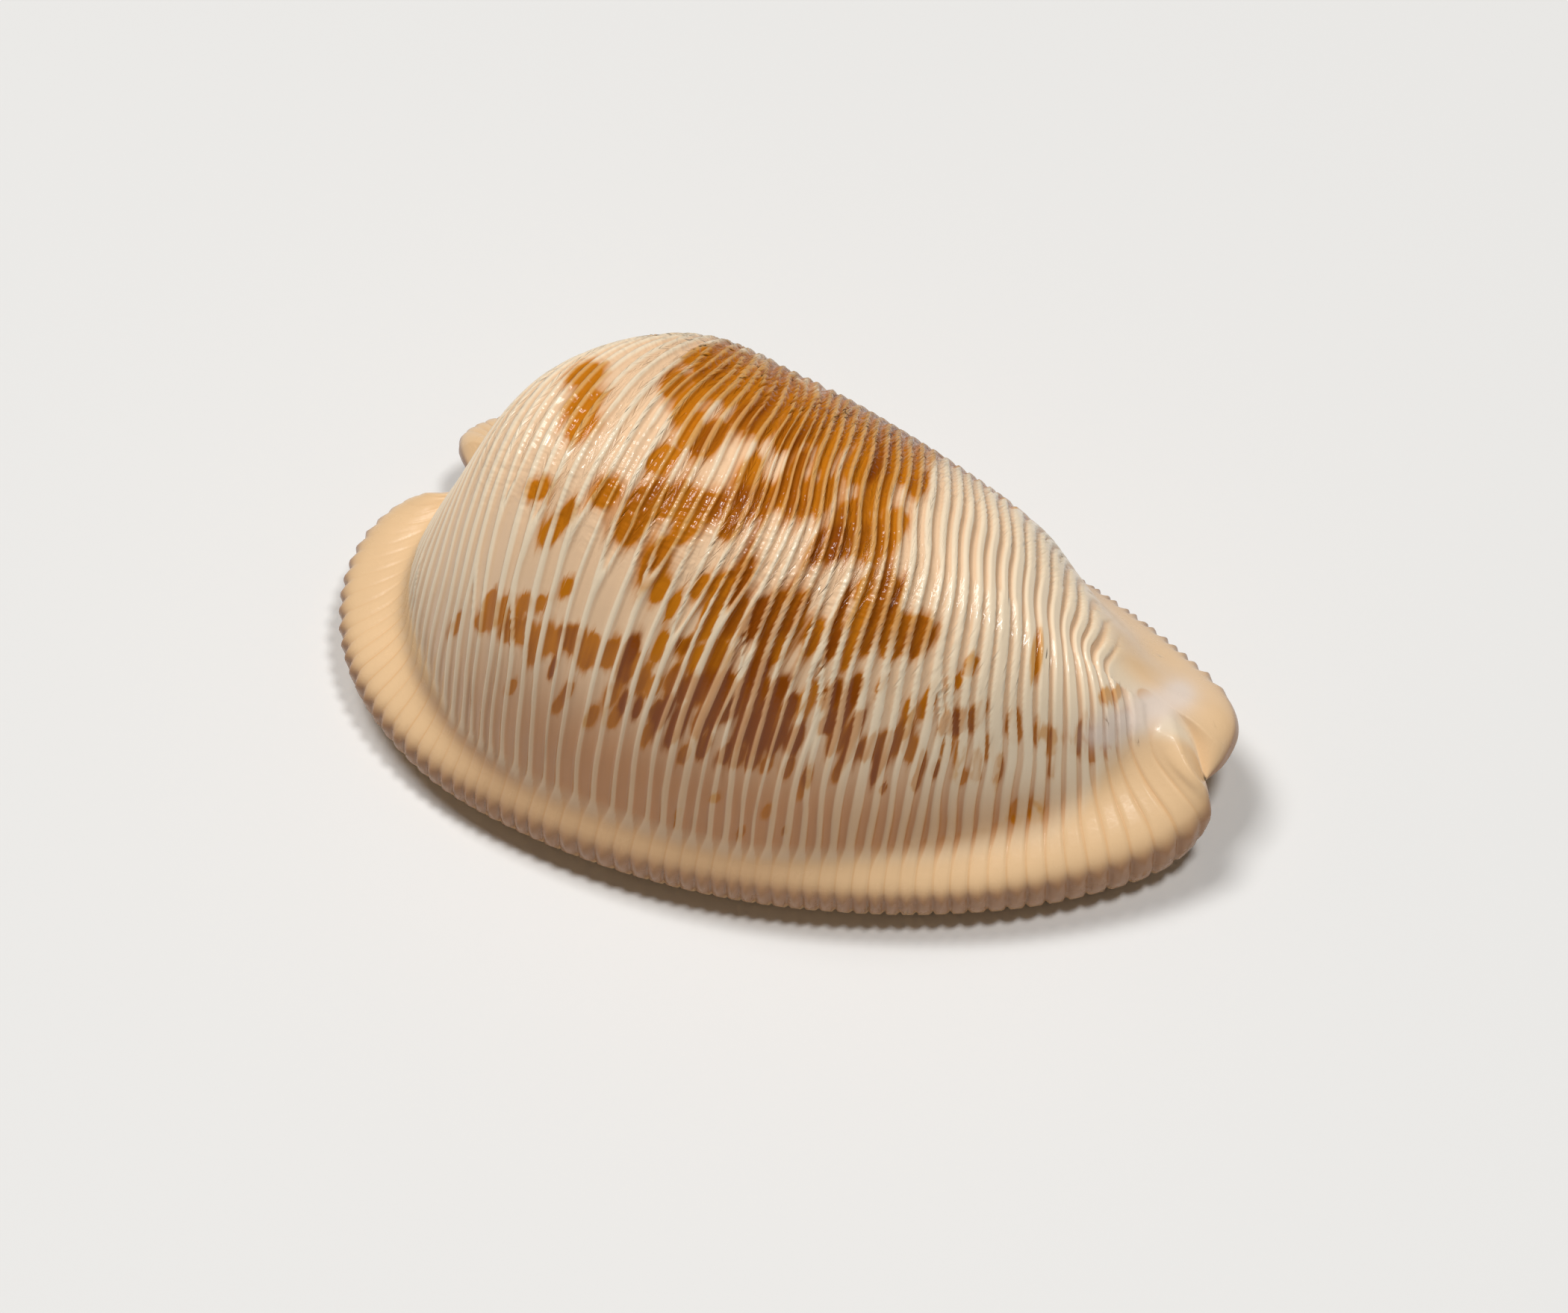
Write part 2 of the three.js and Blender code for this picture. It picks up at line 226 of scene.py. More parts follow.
@dataclass
class ShellForm:
    """The smooth form of the shell, before its ribs, in millimetres."""

    notch_height: float = 3.5
    rest_edge: float = 1.8
    rest_limit: float = 1.9
    mouth_half_width: Span = (0.75, 1.15)
    lip_edge_radius: float = 0.55
    under_rim_width: float = 2.2
    base_crown: float = 0.45
    resting_share: float = 0.34
    rim_thickness: float = 1.4
    rim_roundness: float = 2.6
    back_roundness: float = 2.15
    fillet_power: float = 7.0
    fillet_power_front: float = 2.8
    fillet_span: Span = (0.72, 0.9)
    rear_lag: float = 0.075
    front_lag: float = 0.13
    front_slant: float = 0.24
    sides: dict[Side, SideForm] = field(default_factory=lambda: {
        Side.LIP: SideForm(rear=0.18, middle=0.91, front=0.21, rear_end=0.4,
                           front_start=0.6, power=1.5, ease_top=0.4, ease_rim=0.34, lag=0.0),
        Side.COLUMELLA: SideForm(rear=0.55, middle=0.9, front=0.45, rear_end=0.3,
                                 front_start=0.76, power=1.25, ease_top=0.4, ease_rim=0.36,
                                 lag=0.08),
    })
    samples: int = 120
    stretches: tuple[Stretch, ...] = (
        Stretch("back", 56, 0.25),
        Stretch("underRim", 6),
        Stretch("base", 5),
        Stretch("lipEdge", 3),
        Stretch("wall", 3),
        Stretch("roof", 2),
    )
    rims: dict[Side, Rail] = field(init=False)
    back: Rail = field(init=False)
    mouth: Rail = field(init=False)

    def __post_init__(self) -> None:
        """Lay the four rails that the sections hang between."""
        notch = self.notch_height
        rest = self.rest_edge
        lip = Rail([
            (-11.9, 4.2, notch), (-13.2, 3.7, 3.2), (-14.7, 3.0, 2.7), (-15.5, 1.5, 2.4),
            (-15.4, -0.8, 2.2), (-14.1, -3.3, 2.0), (-11.0, -5.7, 1.9), (-7.0, -6.9, rest),
            (-2.0, -7.3, rest), (3.0, -6.7, rest), (8.0, -5.1, 1.9), (11.6, -3.1, 2.1),
            (13.6, -1.4, 2.4), (14.3, -0.2, 2.9), (13.9, 0.6, notch),
        ])
        columella = Rail([
            (-11.9, 4.2, notch), (-12.9, 4.8, 3.3), (-13.6, 6.0, 2.9), (-12.5, 7.7, 2.4),
            (-9.6, 9.0, 2.0), (-5.0, 10.0, rest), (0.0, 9.8, rest), (5.0, 8.5, rest),
            (9.0, 6.9, 2.1), (12.0, 5.2, 2.6), (13.8, 3.9, 3.1), (14.4, 2.7, 3.4),
            (14.3, 1.5, 3.4), (13.9, 0.6, notch),
        ])
        self.rims = {Side.LIP: lip, Side.COLUMELLA: columella}
        self.back = Rail([
            (-11.9, 4.2, notch), (-11.7, 4.0, 5.5), (-11.2, 3.6, 8.0), (-9.9, 2.8, 12.2),
            (-7.2, 1.9, 14.75), (-3.8, 1.1, 14.45), (1.5, 0.9, 13.1), (5.8, 1.4, 10.9),
            (9.0, 1.5, 7.7), (11.3, 1.7, 5.5), (12.9, 1.6, 4.4), (13.9, 0.6, notch),
        ])
        self.mouth = Rail([
            (-11.9, 4.2, notch), (-10.6, 3.0, 4.3), (-7.8, 1.0, 5.4), (-3.0, -0.8, 6.0),
            (3.0, -1.4, 6.0), (8.0, -1.0, 4.8), (11.4, -0.2, 3.5), (13.0, 0.3, 3.4),
            (13.9, 0.6, notch),
        ])

    @property
    def steps_down(self) -> int:
        """Count the steps from the top of the back to the roof of the mouth."""
        return sum(stretch.steps for stretch in self.stretches)

    @property
    def around(self) -> int:
        """Count the points of one closed ring."""
        return 2 * self.steps_down

    def back_place(self, along: float) -> float:
        """Find where a rib that meets the rim at `along` crosses the top of the back."""
        rear = self.rear_lag * math.sin(2 * math.pi * along) if along < 0.5 else 0.0
        return along - rear - self.front_lag * along ** 7 * (1.0 - along ** 40)

    def slant(self, along: float) -> float:
        """Say how far back, at the columella's rim, a rib on the front half aims."""
        return self.front_slant * float(smoothstep(0.36, 0.6, np.asarray(along)))

    def under_height(self, edge: float) -> float:
        """Give the underside's height where the rim's outermost line is at `edge`."""
        span = self.notch_height - self.rest_limit
        rise = max(0.0, (edge - self.rest_limit) / span)
        return edge * rise ** 1.2

    @staticmethod
    def _superellipse(angle: Array, across: float, up: float, power: float) -> Array:
        """Give a superellipse's radius at each angle above the level."""
        c = np.abs(np.cos(angle)) / across
        s = np.abs(np.sin(angle)) / up
        return (c ** power + s ** power) ** (-1.0 / power)

    def _quarter(self, start: tuple[float, float], end: tuple[float, float],
                 steep: bool) -> Array:
        """Draw a quarter ellipse between two points of a section.

        Args:
            start: Its first point's distance out and height.
            end: Its last point's.
            steep: Whether it starts upright, not level.

        Returns:
            Its points, one row each.
        """
        angle = np.linspace(0.0, math.pi / 2, self.samples)
        across, up = 1.0 - np.cos(angle), np.sin(angle)
        if not steep:
            across, up = up, across
        return np.stack([start[0] + (end[0] - start[0]) * across,
                         start[1] + (end[1] - start[1]) * up], axis=-1)

    def fillet(self, along: float) -> float:
        """Say how tightly the back runs into the rim: a high power is a tight turn."""
        forward = float(smoothstep(*self.fillet_span, np.asarray(along)))
        return self.fillet_power + (self.fillet_power_front - self.fillet_power) * forward

    def back_section(self, reach: float, edge: float, top: float, share: float,
                     power: float) -> Array:
        """Draw the back's section from its top to the rim.

        Args:
            reach: How far out the rim is.
            edge: The height of the rim's outermost line.
            top: The height of the back.
            share: The body's share of the reach.
            power: The fillet's power.

        Returns:
            Rows of distance out and height.
        """
        body = share * reach
        rise = max(top - edge, 1e-3)
        thickness = min(self.rim_thickness, 0.9 * rise)
        rim = (reach ** power - body ** power) ** (1.0 / power)
        angle = np.linspace(math.pi / 2, 0.0, self.samples)
        inner = self._superellipse(angle, body, rise, self.back_roundness)
        outer = self._superellipse(angle, rim, thickness, self.rim_roundness)
        radius = (inner ** power + outer ** power) ** (1.0 / power)
        return np.stack([radius * np.cos(angle), edge + radius * np.sin(angle)], axis=-1)

    def under_sections(self, reach: float, edge: float, roof: float,
                       slit_width: float) -> dict[str, Array]:
        """Draw the underside's sections from the rim to the roof of the mouth.

        Args:
            reach: How far the rim is from the middle of the slit.
            edge: The height of the rim's outermost line.
            roof: The height of the roof of the mouth.
            slit_width: Half the slit's width.

        Returns:
            Each stretch's rows of distance out and height, by name.
        """
        under = self.under_height(edge)
        slit = min(slit_width, 0.3 * reach)
        lip = min(self.lip_edge_radius, 0.12 * reach)
        level = reach - min(self.under_rim_width, 0.4 * reach)
        crown = min(under + self.base_crown, under + 0.4 * (roof - under))
        lip_top = min(crown + lip, crown + 0.4 * (roof - crown))
        wall_top = roof - 0.5 * (roof - lip_top)
        run = np.linspace(0.0, 1.0, self.samples)
        climb = np.maximum(0.0, (run - self.resting_share) / (1 - self.resting_share)) ** 2
        return {
            "underRim": self._quarter((reach, edge), (level, under), True),
            "base": np.stack([level + (slit + lip - level) * run,
                              under + (crown - under) * climb], axis=-1),
            "lipEdge": self._quarter((slit + lip, crown), (slit, lip_top), False),
            "wall": np.stack([np.full_like(run, slit),
                              lip_top + (wall_top - lip_top) * run], axis=-1),
            "roof": self._quarter((slit, wall_top), (0.0, roof), True),
        }

    @staticmethod
    def _spaced(points: Array, stretch: Stretch) -> Array:
        """Space points along a drawn stretch, leaving out its first.

        Args:
            points: The drawn stretch.
            stretch: How many points it takes, and how they crowd.

        Returns:
            The spaced points.
        """
        lengths = np.concatenate(
            [[0.0], np.cumsum(np.linalg.norm(np.diff(points, axis=0), axis=1))])
        wanted = stretch.shares() * lengths[-1]
        return np.stack([np.interp(wanted, lengths, points[:, k]) for k in (0, 1)], axis=-1)

    @staticmethod
    def _rib_path(start: Array, end: Array, launch: Array, outward: Array,
                  shape: SideForm, share: Array) -> Array:
        """Follow a rib seen from above: it leaves the midline at a slant, and ends square.

        Args:
            start: Where it crosses the midline.
            end: Where it meets the rim.
            launch: Its direction at the midline.
            outward: The rim's outward normal.
            shape: The side's form.
            share: How far out to read it, from 0 to 1.

        Returns:
            Places seen from above.
        """
        reach = np.linalg.norm(end - start)
        a = start + launch * shape.ease_top * reach
        b = end - outward * shape.ease_rim * reach
        t = share[:, None]
        return ((1 - t) ** 3 * start + 3 * t * (1 - t) ** 2 * a
                + 3 * t ** 2 * (1 - t) * b + t ** 3 * end)

    def side(self, along: float, side: Side) -> tuple[Array, Array]:
        """Lay one side of a ring, from just below the top to the roof of the mouth.

        Args:
            along: The ring's place.
            side: Which side.

        Returns:
            The side's places, and how far out each lies of the reach to the rim.
        """
        shape = self.sides[side]
        ends = {each: self.rims[each].at(self.sides[each].rim_place(along)) for each in Side}
        rim = ends[side]
        tangent = self.rims[side].direction(shape.rim_place(along))
        outward = np.array([tangent[1], -tangent[0]]) * side.value
        behind = self.rims[Side.COLUMELLA].at(along - self.slant(along))
        launch = (ends[Side.LIP] - behind)[:2] * side.value
        launch = launch / np.linalg.norm(launch)
        mean_edge = (ends[Side.LIP][2] + ends[Side.COLUMELLA][2]) / 2

        top = self.back.at(self.back_place(along))
        back_reach = float(np.linalg.norm(top[:2] - rim[:2]))
        mouth = self.mouth.at(along)
        base_reach = float(np.linalg.norm(mouth[:2] - rim[:2]))
        slit = np.interp(along, [0.0, 1.0], self.mouth_half_width)
        sections = {
            "back": self.back_section(back_reach, min(mean_edge, top[2]), top[2],
                                      float(shape.body_share(np.asarray(along))),
                                      self.fillet(along)),
            **self.under_sections(base_reach, rim[2], mouth[2], slit),
        }
        places, shares = [], []
        for stretch in self.stretches:
            spaced = self._spaced(sections[stretch.name], stretch)
            on_back = stretch.name == "back"
            share = spaced[:, 0] / (back_reach if on_back else base_reach)
            start = top[:2] if on_back else mouth[:2]
            flat = self._rib_path(start, rim[:2], launch, outward, shape, share)
            tilt = (rim[2] - mean_edge) * share if on_back else 0.0
            places.append(np.column_stack([flat, spaced[:, 1] + tilt]))
            shares.append(share)
        return np.vstack(places), np.concatenate(shares)

    def ring(self, along: float) -> tuple[Array, Array]:
        """Lay one closed ring: the top, the columella's side, and back by the lip's."""
        top = self.back.at(self.back_place(along))
        lip, lip_share = self.side(along, Side.LIP)
        columella, columella_share = self.side(along, Side.COLUMELLA)
        places = np.vstack([top[None], columella[:-1], lip[::-1]])
        return places, np.concatenate([[0.0], columella_share[:-1], lip_share[::-1]])

    def columns(self) -> tuple[Array, Array, list[str]]:
        """Describe a ring's points, in their order.

        Returns:
            Each point's `across`, whether it is on the lip's side, and its stretch's name.
        """
        down, names = [], []
        for stretch in self.stretches:
            first = 0.0 if stretch.name == "back" else down[-1][-1]
            width = 0.5 if stretch.name == "back" else 0.1
            down.append(first + width * stretch.shares())
            names += [stretch.name] * stretch.steps
        out = np.concatenate(down)
        across = np.concatenate([[0.5], 0.5 + out[:-1], 0.5 - out[::-1]])
        on_lip = np.concatenate([np.zeros(len(out), bool), np.ones(len(out), bool)])
        return across, on_lip, ["back", *names[:-1], *names[::-1]]


@dataclass(frozen=True)
class Profile:
    """A measure that changes along the shell, given at a few places."""

    along: tuple[float, ...]
    measure: tuple[float, ...]

    def at(self, along: Array) -> Array:
        """Read the measure."""
        return np.interp(along, self.along, self.measure)

    def lay(self, count: int) -> Array:
        """Share out a number of ribs whose crowding follows the measure.

        Args:
            count: How many ribs there are.

        Returns:
            Each rib's `along`.
        """
        run = np.linspace(0.0, 1.0, 401)
        density = self.at(run)
        reached = np.concatenate([[0.0], np.cumsum((density[1:] + density[:-1]) / 2)])
        return np.interp((np.arange(count) + 0.5) / count, reached / reached[-1], run)


@dataclass(frozen=True)
class SideRibs:
    """One side's ribs: where the main ones meet its rim, and its short ones."""

    rim: Array
    owner: Array
    step: Array
    start: Array
    width: Array


@dataclass
class RibField:
    """Where the ribs run: along the rings, with short ribs low down and on top."""

    count: int = 62
    crowding: Profile = Profile(along=(0.0, 0.2, 0.34, 0.42, 0.8, 0.9, 1.0),
                                measure=(50.0, 58.0, 66.0, 70.0, 70.0, 52.0, 46.0))
    short_ribs: dict[Side, int] = field(default_factory=lambda: {
        Side.LIP: 9, Side.COLUMELLA: 12,
    })
    doubled: Span = (0.76, 0.96)
    crowded: Span = (0.35, 0.55)
    seed: int = 11
    waver: float = 0.06
    unevenness: float = 0.2
    narrow: float = 0.17
    wide: float = 0.3
    on_callus: float = 0.39
    softness: float = 0.2
    callus_softness: float = 0.05
    fork_start: Span = (0.2, 0.4)
    rise_start: Span = (0.27, 0.36)
    fork_length: float = 0.1
    spread_start: float = 0.46
    drift_up: float = 0.034
    drift_up_rise: Span = (0.24, 0.5)
    drift_up_from: Span = (0.36, 0.68)
    drift_back: float = 1.5
    drift_back_from: Span = (0.76, 0.92)
    drift_over: float = 0.044
    drift_over_rise: Span = (0.56, 0.76)
    drift_over_from: Span = (0.3, 0.5)
    fork_reach: float = 0.8
    fork_crowding: float = 1.7

    def __post_init__(self) -> None:
        """Draw the ribs from one seeded row of random numbers."""
        rng = np.random.default_rng(self.seed)
        row = self.crowding.lay(self.count)
        row = row + self.unevenness * rng.normal(size=self.count) / self.count
        self.phases = rng.uniform(0.0, 1.0, (self.count, 2))
        low, high = self.crowded
        self.raised = np.flatnonzero((row > low) & (row < high))[::2]
        self.rise = rng.uniform(*self.rise_start, len(self.raised))
        self.top, beside = self._even(row, self.raised)
        self.raised_step = beside - self.top[self.raised]
        self.sides = {side: self._lay_side(rng, row, side) for side in Side}

    @staticmethod
    def _even(row: Array, owners: Array) -> tuple[Array, Array]:
        """Set a short rib after each owner, and even out the gaps near it.

        Args:
            row: The main ribs' places.
            owners: The numbers of the main ribs that have a short rib after them.

        Returns:
            The main ribs' new places, and the short ribs'.
        """
        joined = np.concatenate([row, np.interp(owners + 0.5, np.arange(len(row)), row)])
        order = np.argsort(joined)
        gaps = np.diff(joined[order])
        even = np.convolve(np.pad(gaps, 3, mode="edge"), np.ones(7) / 7, "valid")
        places = np.empty_like(joined)
        places[order] = joined.min() + np.concatenate([[0.0], np.cumsum(even)])
        return places[:len(row)], places[len(row):]

    def _lay_side(self, rng: np.random.Generator, row: Array, side: Side) -> SideRibs:
        """Choose where a side's short ribs branch off.

        Args:
            rng: The row of random numbers.
            row: The main ribs' places.
            side: Which side.

        Returns:
            The side's ribs.
        """
        forks = self.short_ribs[side]
        cells = np.linspace(0.0, 1.0, forks + 1) ** self.fork_crowding
        cells = self.count * (0.04 + self.fork_reach * cells)
        owners = cells[:-1] + rng.uniform(0.15, 0.85, forks) * np.diff(cells)
        owners = np.unique(owners.astype(int))
        if side is Side.COLUMELLA:
            low, high = self.doubled
            owners = np.union1d(owners, np.flatnonzero((row > low) & (row < high)))
        rim, beside = self._even(row, owners)
        width = 1.0 + 0.2 * rng.normal(size=self.count + len(owners) + len(self.raised))
        return SideRibs(rim, owners, beside - rim[owners],
                        rng.uniform(*self.fork_start, len(owners)), np.clip(width, 0.6, 1.5))

    def _drift(self, main: Array, across: Array) -> Array:
        """Say how far towards the rear the ribs leave their rings on the way over the back.

        Args:
            main: The main ribs' places.
            across: The line's place.

        Returns:
            Each rib's drift, as a share of the shell's length.
        """
        up = self.drift_up * smoothstep(*self.drift_up_rise, across)
        up = up * smoothstep(*self.drift_up_from, main)
        up = up * (1.0 - self.drift_back * smoothstep(*self.drift_back_from, main))
        over = self.drift_over * smoothstep(*self.drift_over_rise, across)
        return up + over * smoothstep(*self.drift_over_from, main)

    def _places(self, distance: float, side: Side) -> Array:
        """Find the ribs' places at one distance from a rim.

        Args:
            distance: 0 at the rim and 0.5 on top of the back.
            side: Which side's rim.

        Returns:
            Each rib's `along`. A short rib lies on its main rib until it branches off.
        """
        ribs = self.sides[side]
        spread = float(smoothstep(self.spread_start, 0.0, np.asarray(distance)))
        main = self.top + (ribs.rim - self.top) * spread
        sway = (np.sin(2 * math.pi * (2.3 * distance + self.phases[:, 0]))
                + 0.6 * np.sin(2 * math.pi * (6.1 * distance + self.phases[:, 1])))
        calm = smoothstep(-0.02, 0.12, np.asarray(distance))
        main = main + self.waver * calm * sway / self.count
        main = main - self._drift(main, np.asarray(distance if side is Side.LIP else 1.0 - distance))
        down = smoothstep(0.0, self.fork_length, ribs.start - distance)
        up = smoothstep(0.0, self.fork_length, distance - self.rise)
        return np.concatenate([main, main[ribs.owner] + ribs.step * down,
                               main[self.raised] + self.raised_step * up])

    def crest(self, along: Array, across: float, side: Side,
              callus: Array) -> tuple[Array, Array]:
        """Give the ribs' height on one line across all rings.

        Args:
            along: The rings' places.
            across: The line's place.
            side: Its side.
            callus: How thick the callus is there, which leaves thin grooves.

        Returns:
            0 in the grooves and 1 on the crests, and the same for pointed ribs.
        """
        distance = across if side is Side.LIP else 1.0 - across
        places = self._places(distance, side)
        order = np.argsort(places)
        places, widths = places[order], self.sides[side].width[order]
        places = np.concatenate([[2 * places[0] - places[1]], places,
                                 [2 * places[-1] - places[-2]]])
        widths = np.concatenate([[1.0], widths, [1.0]])
        gaps = np.maximum(np.diff(places), 1e-6)
        usual = np.convolve(np.pad(gaps, 3, mode="edge"), np.ones(7) / 7, "valid")
        after = np.clip(np.searchsorted(places, along), 1, len(places) - 1)
        gap = gaps[after - 1]
        share = np.clip((along - places[after - 1]) / gap, 0.0, 1.0)
        forward = smoothstep(0.6, 0.74, along)
        half = self.narrow + (self.wide - self.narrow) * forward
        half = half + (self.on_callus - half) * callus
        near = half * (1.0 + (widths[after - 1] - 1.0) * (1.0 - callus))
        far = half * (1.0 + (widths[after] - 1.0) * (1.0 - callus))
        softness = self.softness + self.callus_softness * callus
        groove = (smoothstep(0.0, 1.0, (share - near + 0.1) / softness)
                  * smoothstep(0.0, 1.0, (1.0 - share - far + 0.1) / softness))
        depth = smoothstep(0.2, 0.7, gap / usual[after - 1])
        return 1.0 - groove * depth, 1.0 - depth * (1.0 - np.abs(2.0 * share - 1.0))


@dataclass(frozen=True)
class Blotch:
    """One mark, an ellipse: its middle, its half sizes and its depth of colour.

    A mark that the photo shows is placed by its pixels, read one by one, and one on the
    other side by `along` and `across`.
    """

    x: float
    y: float
    half_width: float
    half_height: float
    depth: float

    def amount(self, x: Array, y: Array, lean: Array = 0.0) -> Array:
        """Fall from 1 in the mark's middle, by 0.5 on its outline, to 0 outside it."""
        u = (x - self.x + lean * (y - self.y)) / self.half_width
        v = (y - self.y) / self.half_height
        return 1.0 / (1.0 + (u * u + v * v) ** 2)


